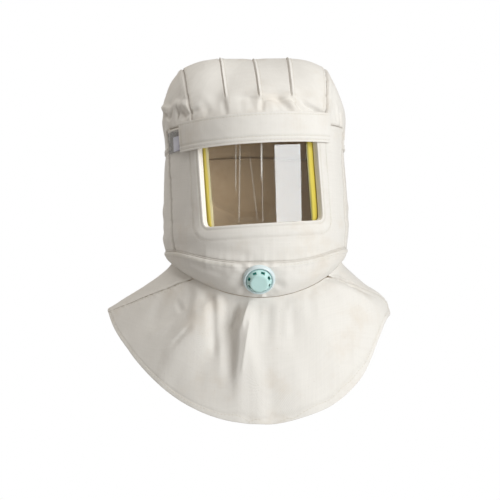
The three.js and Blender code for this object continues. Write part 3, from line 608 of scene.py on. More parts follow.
def weave_group():
    """Plain weave with uneven threads. Vector is the cloth's UV in metres."""
    tree, nodes, given, result = node_group(
        "Canvas weave",
        [
            ("Vector", "NodeSocketVector", None),
            ("Threads", "NodeSocketFloat", 1600.0),
            ("Unevenness", "NodeSocketFloat", 0.5),
        ],
        [("Height", "NodeSocketFloat"), ("Streaks", "NodeSocketFloat")],
    )
    split = nodes.add("ShaderNodeSeparateXYZ", {0: given["Vector"]}).outputs
    waver = nodes.math("MULTIPLY", nodes.noise(given["Vector"], 90.0), given["Unevenness"])
    rows = []
    for axis in (0, 1):
        place = nodes.math("MULTIPLY_ADD", split[axis], given["Threads"], waver)
        rows.append(nodes.math("SINE", nodes.math("MULTIPLY", place, math.pi)))
    over = nodes.math("MULTIPLY", rows[0], rows[1])
    upright = nodes.noise(nodes.stretched(given["Vector"], (420.0, 16.0, 1.0)), 1.0, 3.0, 0.6)
    level = nodes.noise(nodes.stretched(given["Vector"], (16.0, 420.0, 1.0)), 1.0, 3.0, 0.6)
    streaks = nodes.math("MULTIPLY", nodes.math("ADD", upright, level), 0.5)
    thick = nodes.math("SUBTRACT", streaks, 0.5)
    tree.links.new(nodes.math("MULTIPLY_ADD", over, 0.5, thick), result["Height"])
    tree.links.new(streaks, result["Streaks"])
    return tree


def grime_group():
    """Soft uneven marks of handling. Vector is Object coordinates in metres."""
    tree, nodes, given, result = node_group(
        "Handling marks",
        [
            ("Vector", "NodeSocketVector", None),
            ("Size", "NodeSocketFloat", 0.05),
            ("Spread", "NodeSocketFloat", 0.5),
        ],
        [("Marks", "NodeSocketFloat"), ("Specks", "NodeSocketFloat")],
    )
    scale = nodes.math("DIVIDE", 1.0, given["Size"])
    broad = nodes.noise(given["Vector"], scale, 5.0, 0.62)
    low = nodes.math("SUBTRACT", 0.62, nodes.math("MULTIPLY", given["Spread"], 0.3))
    tree.links.new(nodes.ramp(broad, low, 0.78), result["Marks"])
    fine = nodes.noise(given["Vector"], nodes.math("MULTIPLY", scale, 22.0), 2.0, 0.5)
    tree.links.new(nodes.ramp(fine, 0.68, 0.74), result["Specks"])
    return tree


def new_material(name):
    material = bpy.data.materials.new(name)
    material.use_nodes = True
    nodes = Nodes(material.node_tree)
    surface = material.node_tree.nodes["Principled BSDF"]
    materials[name] = material
    return nodes, surface


def shaded(colour, share):
    return tuple(c * share for c in colour[:3]) + (1.0,)


def canvas_material(name, colour, warm, weave, grime, mark_share=0.35):
    """Woven canvas with streaks, marks, specks and a darker line at its seams, partly dirt and partly
    painted shade in the seams' grooves.
    """
    nodes, surface = new_material(name)
    place = nodes.place()
    uv = nodes.add("ShaderNodeUVMap", uv_map="cloth").outputs[0]
    woven = nodes.add("ShaderNodeGroup", node_tree=weave)
    marks = nodes.add("ShaderNodeGroup", node_tree=grime)
    nodes.fill(woven, {"Vector": uv})
    nodes.fill(marks, {"Vector": place})
    tone = nodes.blend(nodes.ramp(woven.outputs["Streaks"], 0.35, 0.65), shaded(colour, 0.965), colour)
    tone = nodes.blend(nodes.math("MULTIPLY", marks.outputs["Marks"], mark_share), tone, warm)
    tone = nodes.blend(nodes.math("MULTIPLY", marks.outputs["Specks"], 0.18), tone, shaded(warm, 0.7))
    # Darker where the seam value is high: dirt along the seams, and painted shade in seam grooves, sewn
    # dents and tuck grooves.
    tone = nodes.blend(nodes.math("MULTIPLY", nodes.value("seam"), 0.34), tone, shaded(warm, 0.5))
    fuzz = nodes.noise(place, 1800.0, 1.0, 0.5)
    height = nodes.math("MULTIPLY_ADD", fuzz, 0.35, woven.outputs["Height"])
    nodes.fill(surface, {
        "Base Color": tone,
        "Roughness": nodes.ramp(woven.outputs["Height"], -0.5, 1.0, 0.96, 0.84),
        "Normal": nodes.bump(0.4, 0.0003, height),
        "Sheen Weight": 0.18,
        "Sheen Roughness": 0.6,
        "Specular IOR Level": 0.25,
    })


def plastic_material(name, colour, rough, coat=0.0):
    """Moulded plastic with slight clouds, scuffs and grain."""
    nodes, surface = new_material(name)
    place = nodes.place()
    cloud = nodes.noise(place, 60.0, 4.0, 0.6)
    scuffs = nodes.noise(nodes.stretched(place, (60.0, 60.0, 700.0)), 1.0, 3.0, 0.7)
    nodes.fill(surface, {
        "Base Color": nodes.blend(nodes.ramp(cloud, 0.35, 0.7), shaded(colour, 0.94), colour),
        "Roughness": nodes.ramp(scuffs, 0.4, 0.7, rough, rough + 0.18),
        "Normal": nodes.bump(0.25, 0.0001, nodes.noise(place, 600.0)),
        "Coat Weight": coat,
        "Coat Roughness": 0.2,
        "Subsurface Weight": 0.08,
        "Subsurface Radius": (0.002, 0.002, 0.002),
    })


# Painted highlights drawn as light lines along the cover film's creases: place across, lean, width, lower
# and upper end in metres, and strength
FILM_CREASE_GLINTS = [
    (-0.0318, 0.02, 0.0006, -0.185, -0.125, 0.24),
    (-0.0285, 0.03, 0.0008, -0.225, -0.125, 0.17),
    (-0.006, -0.1, 0.0008, -0.225, -0.15, 0.07),
    (0.0002, 0.01, 0.0008, -0.172, -0.125, 0.5),
    (0.0006, 0.01, 0.0005, -0.232, -0.125, 0.13),
]


def clear_material(name, colour, ior, lines):
    """Clear plastic that lets light through, with light lines where its cover film has creases: painted
    highlights of the creases.
    """
    nodes, surface = new_material(name)
    place = nodes.place()
    haze = nodes.noise(place, 45.0, 4.0, 0.6)
    ripple = nodes.noise(nodes.stretched(place, (26.0, 26.0, 5.0)), 1.0, 2.0, 0.5)
    nodes.fill(surface, {
        "Base Color": colour,
        "Roughness": nodes.ramp(haze, 0.4, 0.75, 0.02, 0.06),
        "Normal": nodes.bump(0.3, 0.0008, ripple),
        "Transmission Weight": 1.0,
        "IOR": ior,
    })
    path = nodes.add("ShaderNodeLightPath")
    passing = nodes.add("ShaderNodeBsdfTransparent", {"Color": colour})
    share = nodes.math("MULTIPLY", path.outputs["Is Shadow Ray"], 0.9)
    mixed = nodes.add("ShaderNodeMixShader", {0: share, 1: surface.outputs[0], 2: passing.outputs[0]})
    split = nodes.add("ShaderNodeSeparateXYZ", {0: place}).outputs
    crease_glint = None
    for across, lean, width, low, high, strength in lines:
        leaning = nodes.math("MULTIPLY_ADD", split["Z"], lean, across - lean * low)
        off = nodes.math("ABSOLUTE", nodes.math("SUBTRACT", split["X"], leaning))
        line = nodes.ramp(off, 0.2 * width, 1.6 * width, strength, 0.0)
        line = nodes.math("MULTIPLY", line, nodes.ramp(split["Z"], low - 0.01, low + 0.01))
        line = nodes.math("MULTIPLY", line, nodes.ramp(split["Z"], high + 0.01, high - 0.005))
        crease_glint = line if crease_glint is None else nodes.math("MAXIMUM", crease_glint, line)
    # A whitish diffuse surface along each crease: painted highlight.
    if crease_glint:
        painted_highlight = nodes.add("ShaderNodeBsdfDiffuse", {"Color": (0.9, 0.88, 0.84, 1)})
        mixed = nodes.add("ShaderNodeMixShader", {0: crease_glint, 1: mixed.outputs[0], 2: painted_highlight.outputs[0]})
    nodes.fill(nodes.tree.nodes["Material Output"], {"Surface": mixed.outputs[0]})


def film_material(name, colour, cover):
    """Thin see-through film. Cover is how much it hides of what is behind it."""
    nodes, surface = new_material(name)
    cloud = nodes.noise(nodes.place(), 120.0, 3.0, 0.6)
    nodes.fill(surface, {
        "Base Color": nodes.blend(cloud, shaded(colour, 0.85), colour),
        "Alpha": nodes.ramp(cloud, 0.35, 0.7, cover * 0.85, cover),
        "Roughness": 0.4,
        "Specular IOR Level": 0.3,
    })


def strip_material(name, colour, painted_shade):
    """Coloured film with painted shading across it: darker towards one side, a painted highlight band, and
    darker again at the far edge.
    """
    nodes, surface = new_material(name)
    cloud = nodes.noise(nodes.stretched(nodes.place(), (240.0, 240.0, 9.0)), 1.0, 2.0, 0.5)
    waver = nodes.math("MULTIPLY_ADD", cloud, 0.3, nodes.math("SUBTRACT", nodes.value("across"), 0.15))
    # Painted shade, the strip's colour, a painted highlight, then painted shade at the far edge.
    tone = nodes.blend(nodes.ramp(waver, 0.0, 0.32), painted_shade, shaded(colour, 0.75))
    tone = nodes.blend(nodes.ramp(waver, 0.42, 0.62), tone, colour)
    painted_highlight = tuple(mix(c, 1.0, 0.45) for c in colour[:3]) + (1.0,)
    tone = nodes.blend(nodes.ramp(waver, 0.68, 0.86), tone, painted_highlight)
    tone = nodes.blend(nodes.ramp(waver, 0.94, 1.04), tone, shaded(painted_shade, 0.8))
    nodes.fill(surface, {"Base Color": tone, "Roughness": 0.3, "Coat Weight": 0.3})


def make_materials():
    colours = bpy.context.scene.hood_colours
    weave, grime = weave_group(), grime_group()

    def rgba(name):
        return tuple(getattr(colours, name)) + (1.0,)

    canvas_material("canvas", rgba("canvas"), rgba("warm"), weave, grime)
    # The inside's canvas is the canvas darkened: painted shade for the dim inside of the helmet and cape.
    canvas_material("canvas_inside", rgba("inside"), rgba("inside_shaded_marks"), weave, grime, 0.6)
    # The window's turned-in edge gets a paler canvas: painted highlight.
    canvas_material("canvas_edge", rgba("edge"), rgba("warm"), weave, grime, 0.1)
    clear_material("lens_clear", (0.97, 0.98, 0.97, 1), 1.62, FILM_CREASE_GLINTS)
    # The clear cover film is given a darkened grey: painted shade.
    film_material("film_clear", rgba("film"), 0.5)
    plastic_material("thread", rgba("thread"), 0.7)
    strip_material("yellow_strip", rgba("yellow"), rgba("strip_painted_shade"))
    plastic_material("grey_tab", rgba("tab"), 0.35, 0.3)
    plastic_material("white_plastic", rgba("collar"), 0.32, 0.2)
    plastic_material("teal_plastic", rgba("cap"), 0.3, 0.2)
    plastic_material("slot_plastic", rgba("slots"), 0.5)


def size_property(name, description, value):
    return FloatProperty(name=name, description=description, default=value, unit="LENGTH")


def colour_property(name, description, value):
    return FloatVectorProperty(
        name=name, description=description, default=value, subtype="COLOR", size=3, min=0, max=1
    )


class HoodSizes(bpy.types.PropertyGroup):
    groove: size_property("Seam groove", "How deep the cloth dips at a seam", 1.0 * MM)
    welt: size_property("Welt", "Height of the turned-in cloth beside a seam", 1.0 * MM)
    pucker: size_property("Puckers", "Height of the puckers beside a seam", 0.22 * MM)
    uneven: size_property("Unevenness", "How uneven the cloth lies", 1.0 * MM)
    stitch: size_property("Stitch", "Length of a stitch", 3.4 * MM)
    stitch_gap: size_property("Stitch gap", "Space between two stitches", 1.1 * MM)
    thread: size_property("Thread", "Thickness of the sewing thread", 0.7 * MM)


class HoodColours(bpy.types.PropertyGroup):
    canvas: colour_property("Canvas", "Unbleached canvas outside", (0.755, 0.73, 0.685))
    warm: colour_property("Canvas marks", "Warmer marks on the canvas", (0.62, 0.53, 0.42))
    # Inside colours are the canvas darkened: painted shade for the dim inside.
    inside: colour_property("Inside", "Canvas inside the helmet", (0.46, 0.36, 0.25))
    inside_shaded_marks: colour_property("Inside marks", "Darker marks inside the helmet", (0.30, 0.21, 0.125))
    # Paler canvas on the window's turned-in edge: painted highlight.
    edge: colour_property("Window edge", "Turned-in edge round the window", (0.86, 0.82, 0.76))
    thread: colour_property("Thread", "Sewing thread", (0.70, 0.66, 0.57))
    yellow: colour_property("Strips", "Strips at the sides of the lens", (0.88, 0.73, 0.12))
    # Painted shade at the sides of the strips.
    strip_painted_shade: colour_property("Strip edges", "Darker side of the strips", (0.16, 0.14, 0.03))
    # The film's grey is painted shade on a clear film.
    film: colour_property("Film", "Cover film past the strap", (0.24, 0.24, 0.235))
    tab: colour_property("Tab", "Tab on the cover film", (0.25, 0.25, 0.33))
    collar: colour_property("Collar", "Valve collar and nut", (0.66, 0.76, 0.78))
    cap: colour_property("Cap", "Valve cap", (0.54, 0.78, 0.755))
    slots: colour_property("Slots", "Inside the cap's slots", (0.12, 0.85, 0.74))


def tuck_gaps(places):
    """Distance to each tuck's line, and how far the tuck has begun there."""
    released = ease((places.height - TUCKS_END) / (4 * MM))
    half = corner_half(places.share)
    return [(places.co[:, 0] - share * half, released) for share in (-TUCK_SHARE, 0, TUCK_SHARE)]


def crown_own(places, lift, closeness):
    """Sharper tucks with a fold line at their left, and the bend where they end."""
    for gap, released in tuck_gaps(places):
        line = bell(gap + 1.5 * MM, 0.8 * MM)
        lift = lift + released * (0.5 * MM * hump(gap - 0.5 * MM, 2 * MM) - 2.2 * MM * line)
        # The tuck's groove also joins the seam value: painted shade along the groove.
        closeness = np.maximum(closeness, released * line)
    x = places.co[:, 0]
    across = ease((x + 30 * MM) / (20 * MM)) * ease((52 * MM - x) / (14 * MM))
    above = places.height - TUCKS_END
    bend = hump(above - 4 * MM, 7 * MM) - 1.6 * hump(above + 3 * MM, 5 * MM)
    front = places.co[:, 1] < 0
    return lift + 1.1 * MM * bend * across * front, closeness


class HOOD_OT_crown(bpy.types.Operator):
    """Make the tucked crown and its two sides"""

    bl_idname = "hood.crown"
    bl_label = "Crown"

    def execute(self, context):
        helmet_cloth("crown_top", own_lift=crown_own)
        helmet_cloth("crown_side_left")
        helmet_cloth("crown_side_right")
        return {"FINISHED"}


def paint_window_edge_highlight(piece):
    """Gives the turned-in edge of the window its own paler cloth, a painted highlight where light catches
    the edge.
    """
    mesh = piece.data
    mesh.materials.append(materials["canvas_edge"])
    places = Places(vectors_of(mesh.polygons, "center"))
    gap = window_gap(window_arc(places.turn, places.height), places.height)
    index = np.empty(len(mesh.polygons), dtype=np.int32)
    mesh.polygons.foreach_get("material_index", index)
    mesh.polygons.foreach_set("material_index", np.where(gap < 0.6 * MM, 2, index).astype(np.int32))


def face_own(places, lift, closeness):
    """The cloth stays flat at the window's edge, with sewn lines round it."""
    gap = window_gap(window_arc(places.turn, places.height), places.height)
    lift = lift * ease((gap - 1 * MM) / (14 * MM))
    for at, depth in WINDOW_ROWS:
        line = bell(gap - at, 1.1 * MM)
        lift = lift - depth * line
        closeness = np.maximum(closeness, 0.35 * line)
    return lift, closeness


class HOOD_OT_panels(bpy.types.Operator):
    """Make the front, side and back panels"""

    bl_idname = "hood.panels"
    bl_label = "Panels"

    def execute(self, context):
        paint_window_edge_highlight(helmet_cloth("front_panel", own_lift=face_own))
        helmet_cloth("side_panel_left")
        helmet_cloth("side_panel_right")
        helmet_cloth("back_panel")
        return {"FINISHED"}


def chin_own(places, lift, closeness):
    """The cloth lies flat under the valve, with puckers round it."""
    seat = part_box("valve_collar")
    middle = (seat[0] + seat[1]) / 2
    off = places.co - np.array(middle)
    distance = np.linalg.norm(off, axis=1)
    around = np.arctan2(off[:, 2], off[:, 0])
    rays = np.sin(around * 9 + 1) + 0.6 * np.sin(around * 14 + 2)
    puckers = 0.8 * MM * rays * hump(distance - 28 * MM, 12 * MM)
    return lift * ease((distance - 22 * MM) / (14 * MM)) + puckers, closeness


class HOOD_OT_chin(bpy.types.Operator):
    """Make the chin band"""

    bl_idname = "hood.chin"
    bl_label = "Chin band"

    def execute(self, context):
        helmet_cloth("chin_band", rounding=0, own_lift=chin_own)
        return {"FINISHED"}


def strap_up(turn, height):
    """Distance above the strap's lower edge."""
    return height - STRAP_BOTTOM - np.radians(turn) * FACE_DEPTH * BROW_SLOPE


def strap_own(places, lift, closeness):
    """A turned lower edge sewn twice, a sewn end, and a slight wave."""
    up = strap_up(places.turn, places.height)
    along = np.radians(places.turn - STRAP_LEFT) * FACE_DEPTH
    lines = 0.4 * bell(along - STRAP_END_ROW, 0.9 * MM)
    for at, depth in STRAP_ROWS:
        lines = lines + depth * bell(up - at, 0.9 * MM)
    wave = 0.6 * MM * soft_noise(places.co, 0.035, 5) + 0.25 * MM * soft_noise(places.co, 0.012, 6)
    return wave - lines * MM, np.minimum(1, 0.5 * lines)


def strap_height(turn, up):
    return STRAP_BOTTOM + up + turn * DEGREE * FACE_DEPTH * BROW_SLOPE


class HOOD_OT_strap(bpy.types.Operator):
    """Make the brow strap"""

    bl_idname = "hood.strap"
    bl_label = "Brow strap"

    def execute(self, context):
        helmet_cloth("brow_strap", own_lift=strap_own)
        return {"FINISHED"}


def plain_piece(node, name, material, rounding=0.25 * MM):
    """A finer copy of a stiff CAD node."""
    piece = finer_copy(node, name, STIFF_LEVELS, rounding)
    piece.data.materials.clear()
    piece.data.materials.append(materials[material])
    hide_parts(node)
    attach(piece, "root")
    return piece


def lens_strip(node, name, widening):
    """A strip of the lens, widened towards its inner side, with its place across kept as a value, which
    places the painted shade and highlight across it.
    """
    piece = plain_piece(node, name, "yellow_strip")
    mesh = piece.data
    co = points_of(mesh)
    turn = np.degrees(np.arctan2(co[:, 0], -co[:, 1])) - lean_turn(co[:, 2])
    low, high = turn.min(), turn.max()
    across = (turn - low) / (high - low)
    outer = 1.0 if high > 0 else 0.0
    shift = np.radians((across - outer) * (high - low) * (widening - 1))
    cos, sin = np.cos(shift), np.sin(shift)
    x, y, z = co.T
    move_points(mesh, np.stack([x * cos - y * sin, x * sin + y * cos, z], axis=1))
    add_values(mesh, "across", across)
    return piece


class HOOD_OT_window(bpy.types.Operator):
    """Make the lens, its coloured strips and the cover film"""

    bl_idname = "hood.window"
    bl_label = "Window"

    def execute(self, context):
        plain_piece("lens", "lens_sheet", "lens_clear")
        lens_strip("lens_edge_left", "lens_strip_left", 1.15)
        lens_strip("lens_edge_right", "lens_strip_right", 1.35)
        plain_piece("film_tab", "cover_film_end", "film_clear", rounding=0.15 * MM)
        plain_piece("pull_tab", "cover_film_tab", "grey_tab", rounding=0.15 * MM)
        return {"FINISHED"}


def valve_frame():
    """The place and direction of the valve, standing on the cloth."""
    ahead = Vector((0, -math.cos(VALVE_TILT * DEGREE), -math.sin(VALVE_TILT * DEGREE)))
    axis = Matrix.Rotation(VALVE_TURN * DEGREE, 3, "Z") @ ahead
    spots = [v.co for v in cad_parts["valve_collar"].data.vertices]
    middle = sum(spots, Vector()) / len(spots)
    top = max((spot - middle).dot(axis) for spot in spots)
    seat = middle + axis * (top - COLLAR_HEIGHT)
    return Matrix.Translation(seat) @ axis.to_track_quat("Z", "Y").to_matrix().to_4x4()


def turned_piece(name, profile, material, rounding=0.35 * MM):
    """A piece turned round the valve's axis from radius and height pairs in mm."""
    mesh = bmesh.new()
    points = [mesh.verts.new((radius * MM, 0, height * MM)) for radius, height in profile]
    edges = [mesh.edges.new(pair) for pair in zip(points, points[1:] + points[:1])]
    bmesh.ops.spin(
        mesh, geom=points + edges, cent=(0, 0, 0), axis=(0, 0, 1), angle=math.tau, steps=72,
        use_merge=True,
    )
    bmesh.ops.recalc_face_normals(mesh, faces=mesh.faces)
    round_edges(mesh, sharp_edges(mesh, 25), rounding, 2)
    bmesh.ops.transform(mesh, matrix=valve_frame(), verts=mesh.verts)
    data = data_from(mesh, name)
    data.materials.append(materials[material])
    smooth(data)
    piece = link(bpy.data.objects.new(name, data))
    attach(piece, "root")
    return piece


# Radius and height pairs of the valve's turned pieces, in mm from the cloth under the collar
COLLAR_HEIGHT = 6 * MM
COLLAR_PROFILE = [
    (12.5, -5.5), (14.7, -5.5), (14.7, 0.3), (20, 0.3), (20, 2.2), (19.4, 3), (19.4, 4.4), (18.2, 6),
    (17.1, 6), (16, 4.8), (16, 2), (12.5, 2),
]
FLAP_PROFILE = [(2, 2.4), (5, 3.4), (9, 2.9), (13.4, 2.5), (13.4, 3.1), (9, 3.7), (5, 4.2), (2, 3.8)]


class HOOD_OT_valve(bpy.types.Operator):
    """Make the exhaust valve"""

    bl_idname = "hood.valve"
    bl_label = "Valve"

    def execute(self, context):
        ring = turned_piece("valve_ring", COLLAR_PROFILE, "white_plastic")
        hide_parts("valve_collar")
        flap = turned_piece("valve_flap", FLAP_PROFILE, "slot_plastic", 0.15 * MM)
        for node, material in (("valve_nut", "white_plastic"), ("valve_cap", "teal_plastic")):
            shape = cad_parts[node]
            shape.data.materials.clear()
            shape.data.materials.append(materials[material])
        return {"FINISHED"}


def cape_places(co):
    """Hem turn and share of the way down for points of the cape."""
    down = np.full(len(co), 0.6)
    for _ in range(8):
        x = co[:, 0] - CAPE_MIDDLE.x * down
        y = co[:, 1] - CAPE_MIDDLE.y * down
        ahead = y < 0
        stretch = CAPE_HALF / np.where(ahead, CAPE_AHEAD, CAPE_BEHIND)
        stretch = 1 + (stretch - 1) * down
        turn = np.degrees(np.arctan2(x, -y * stretch))
        radius = np.hypot(x, y * stretch)
        down = np.clip((radius - NECK_RADIUS) / (CAPE_HALF - NECK_RADIUS), 0, 1.3)
    return turn, down


def hem_shares(turn, down):
    """How far down the cloth reaches, measured every few degrees round the cape."""
    shares = np.zeros(360 // HEM_STEP)
    np.maximum.at(shares, ((turn + 180) // HEM_STEP).astype(int) % len(shares), down)
    return shares


def hem_at(shares, turn):
    middles = np.arange(len(shares)) * HEM_STEP - 180 + HEM_STEP / 2
    known = shares > 0.5
    return np.interp(turn, middles[known], shares[known], period=360)


def cape_out(co):
    turn, _ = cape_places(co)
    facing = np.radians(turn)
    out = np.stack([np.sin(facing), -np.cos(facing), np.full(len(co), CAPE_FACING)], axis=1)
    return out / np.linalg.norm(out, axis=1, keepdims=True)


def cape_cloth(node):
    """The finished cloth of one half of the cape."""
    sizes = bpy.context.scene.hood_sizes
    piece = finer_copy(node, node + "_cloth", CLOTH_LEVELS)
    mesh = piece.data
    co = points_of(mesh)
    turn, down = cape_places(co)
    lift = sizes.uneven * 1.3 * soft_noise(co, 0.06, 3)
    lift = lift + sizes.uneven * 0.4 * soft_noise(co, 0.016, 4, (1, 1, 0.5))
    lift = (lift + folds_lift(CAPE_FOLDS, turn, down, cape_flat)) * ease(down / 0.1)
    hem_gap = (hem_at(hem_shares(turn, down), turn) - down) * CAPE_CLOTH
    lift = lift - 0.35 * MM * bell(hem_gap - HEM, 1.2 * MM)
    shoulder_gap = shoulder_distance(turn, down)
    lift = lift + seam_relief(shoulder_gap, down * CAPE_CLOTH, 7, 1, sizes)
    closeness = bell(shoulder_gap, SEAM_TINT) + 0.2 * bell(hem_gap - HEM, 1 * MM)
    moved = co + cape_out(co) * lift[:, None]
    # The two halves meet at the left shoulder, and the neck's edge stays under the chin band
    closing = hump(shoulder_gap, 55 * MM) * (turn < 0)
    if node == "cape_front":
        moved[:, 2] += (1.5 * MM + 4.25 * MM * down) * closing
    else:
        moved[:, 2] -= 5.75 * MM * down * closing
        moved[:, 2] += 0.8 * MM * hump(down * CAPE_CLOTH, 6 * MM)
    move_points(mesh, moved)
    add_uv(mesh, cape_flat(turn, down))
    add_values(mesh, "seam", np.minimum(closeness, 1))
    canvas_on_both_sides(mesh, cape_out)
    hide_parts(node)
    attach(piece, "root")
    return piece


class HOOD_OT_cape(bpy.types.Operator):
    """Make the two halves of the cape"""

    bl_idname = "hood.cape"
    bl_label = "Cape"

    def execute(self, context):
        cape_cloth("cape_front")
        cape_cloth("cape_back")
        return {"FINISHED"}


# Sewing, laid on the finished cloth


def surface_of(*names):
    """A search tree of the outsides of several pieces."""
    spots, faces = [], []
    for name in names:
        data = bpy.data.objects[name].data
        start = len(spots)
        spots.extend(v.co.copy() for v in data.vertices)
        faces.extend([start + index for index in face.vertices] for face in data.polygons)
    return BVHTree.FromPolygons(spots, faces)


def spot_from(tree, middle, out, reach):
    """The place and the outward direction of the cloth where a ray from outside meets it."""
    place, normal, _, _ = tree.ray_cast(middle + out * reach, -out)
    if place is None:
        return None
    return place, normal if normal.dot(out) > 0 else -normal


def wall_spot(tree, turn, height):
    return spot_from(tree, Vector((0, 0, height)), level_with(turn), 0.35)


def crown_spot(tree, x, angle):
    out = Vector((0, -math.cos(angle * DEGREE), math.sin(angle * DEGREE)))
    return spot_from(tree, Vector((x, 0, CORE_HEIGHT)), out, 0.3)


def cape_spot(tree, turn, down):
    radius = mix(NECK_RADIUS, CAPE_HALF, down)
    facing = math.cos(turn * DEGREE)
    depth = mix(1, (CAPE_AHEAD if facing > 0 else CAPE_BEHIND) / CAPE_HALF, down)
    x = math.sin(turn * DEGREE) * radius + CAPE_MIDDLE.x * down
    y = -facing * radius * depth + CAPE_MIDDLE.y * down
    return spot_from(tree, Vector((x, y, 0)), Vector((0, 0, 1)), 0.1)


def spread(start, end, count):
    return [mix(start, end, step / (count - 1)) for step in range(count)]


def sew(mesh, spots, sizes):
    """Lays stitches along a row of places on the cloth, and adds them to a mesh a few at a time."""
    few = bmesh.new()
    draft = bpy.data.meshes.new("stitches_draft")
    pitch = sizes.stitch + sizes.stitch_gap
    travelled, following = 0.0, pitch / 2
    for (start, first), (end, second) in zip(spots, spots[1:]):
        step = (end - start).length
        if step > 14 * MM:
            continue
        while following <= travelled + step:
            share = (following - travelled) / step
            along = (end - start).normalized()
            side = first.lerp(second, share).cross(along).normalized()
            turned = Matrix((side, along.cross(side), along)).transposed().to_4x4()
            size = Matrix.Diagonal((sizes.thread / 2, sizes.thread / 2, sizes.stitch / 2, 1))
            where = Matrix.Translation(start.lerp(end, share)) @ turned @ size
            bmesh.ops.create_uvsphere(few, u_segments=6, v_segments=4, radius=1, matrix=where)
            following += pitch
            if len(few.verts) > 400:
                few.to_mesh(draft)
                mesh.from_mesh(draft)
                few.clear()
        travelled += step
    few.to_mesh(draft)
    mesh.from_mesh(draft)
    few.free()
    bpy.data.meshes.remove(draft)


def stitching(name, find, tree, lines):
    """One piece with stitches along several lines of places, which find looks up on a tree's cloth."""
    mesh = bmesh.new()
    for line in lines:
        spots = [find(tree, *place) for place in line]
        sew(mesh, [spot for spot in spots if spot], bpy.context.scene.hood_sizes)
    data = data_from(mesh, name)
    data.materials.append(materials["thread"])
    smooth(data)
    piece = link(bpy.data.objects.new(name, data))
    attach(piece, "root")


def within_half_turn(turn):
    return turn if turn < 180 else turn - 360


def chin_line(drop):
    return [(turn, float(chin_seam(turn)) - drop) for turn in spread(-180, 180, 241)]


def crown_line(rise):
    turns = spread(62, 298, 160)
    return [(turn, float(crown_seam(within_half_turn(turn))) + rise) for turn in turns]


def panel_line(side, behind):
    heights = spread(float(chin_seam(PANEL_TURN)) + 4 * MM, BROW_SEAM - 8 * MM, 60)
    shift = side * math.degrees(behind / FACE_DEPTH)
    return [(float(panel_edge(side, height)) + shift, height) for height in heights]


def back_line(side, behind):
    heights = spread(float(chin_seam(SIDE_TURN)) + 4 * MM, float(crown_seam(SIDE_TURN)) - 4 * MM, 50)
    return [(side * (SIDE_TURN + math.degrees(behind / BACK_DEPTH)), height) for height in heights]


def window_line(gap):
    """A line round the window's left, lower and right sides."""
    half, low = WINDOW_HALF + gap, WINDOW_BOTTOM - gap
    corner = WINDOW_CORNER + gap
    path = [(-half, height) for height in spread(WINDOW_TOP - 2 * MM, low + corner, 30)]
    for side in (-1, 1):
        angles = spread(0, 90, 8) if side < 0 else spread(90, 0, 8)
        for angle in angles:
            across = half - corner + corner * math.cos(angle * DEGREE)
            path.append((side * across, low + corner - corner * math.sin(angle * DEGREE)))
    path += [(half, height) for height in spread(low + corner, WINDOW_TOP - 2 * MM, 30)]
    line = []
    for arc, level in path:
        height = level + arc * BROW_SLOPE
        lean = lean_turn(height) - lean_turn(WINDOW_MIDDLE)
        line.append((math.degrees(arc / FACE_DEPTH) + lean, height))
    return line


def shoulder_line(side, shift):
    return [(side * (float(shoulder_turn(down)) + shift), down) for down in spread(0.05, 0.985, 60)]


def corner_line(share, off):
    """A line over the crown, at a share of the way from its middle to its corner."""
    line = []
    for angle in spread(24, 160, 90):
        half = float(corner_half((angle - CORNER_START) / CORNER_SWEEP))
        line.append((share * half + off, angle))
    return line


def make_stitches():
    """Rows of stitches beside the seams, round the window, on the strap and along the hem."""
    chin = chin_line(SEAM_ROW)
    lines = [[spot for spot in chin if abs(spot[0] - VALVE_TURN) > VALVE_CLEARANCE], crown_line(SEAM_ROW)]
    for side in (-1, 1):
        lines += [panel_line(side, PANEL_ROW), back_line(side, PANEL_ROW)]
    lines += [window_line(gap) for gap, _ in WINDOW_ROWS]
    stitching("wall_stitches", wall_spot, surface_of(*WALL_PIECES), lines)

    lines = [corner_line(share, SEAM_ROW) for share in (-TUCK_SHARE, 0, TUCK_SHARE)]
    lines += [corner_line(side, -side * SEAM_ROW) for side in (-1, 1)]
    stitching("crown_stitches", crown_spot, surface_of("crown_top_cloth"), lines)

    turns = spread(STRAP_LEFT + 1.2, STRAP_RIGHT - 1, 90)
    lines = [[(turn, strap_height(turn, up)) for turn in turns] for up, _ in STRAP_ROWS]
    end = STRAP_LEFT + math.degrees(STRAP_END_ROW / FACE_DEPTH)
    lines.append([(end, strap_height(end, up)) for up in spread(9 * MM, 33 * MM, 12)])
    stitching("strap_stitches", wall_spot, surface_of("brow_strap_cloth"), lines)

    lines = []
    for name, span in zip(CAPE_PIECES, ((-77, 77, 140), (83, 277, 160))):
        turn, down = cape_places(points_of(bpy.data.objects[name].data))
        shares = hem_shares(turn, down)
        turns = map(within_half_turn, spread(*span))
        lines.append([(at, float(hem_at(shares, at)) - HEM / CAPE_CLOTH) for at in turns])
    lines += [shoulder_line(side, -1.6) for side in (-1, 1)]
    stitching("cape_stitches", cape_spot, surface_of(*CAPE_PIECES), lines)


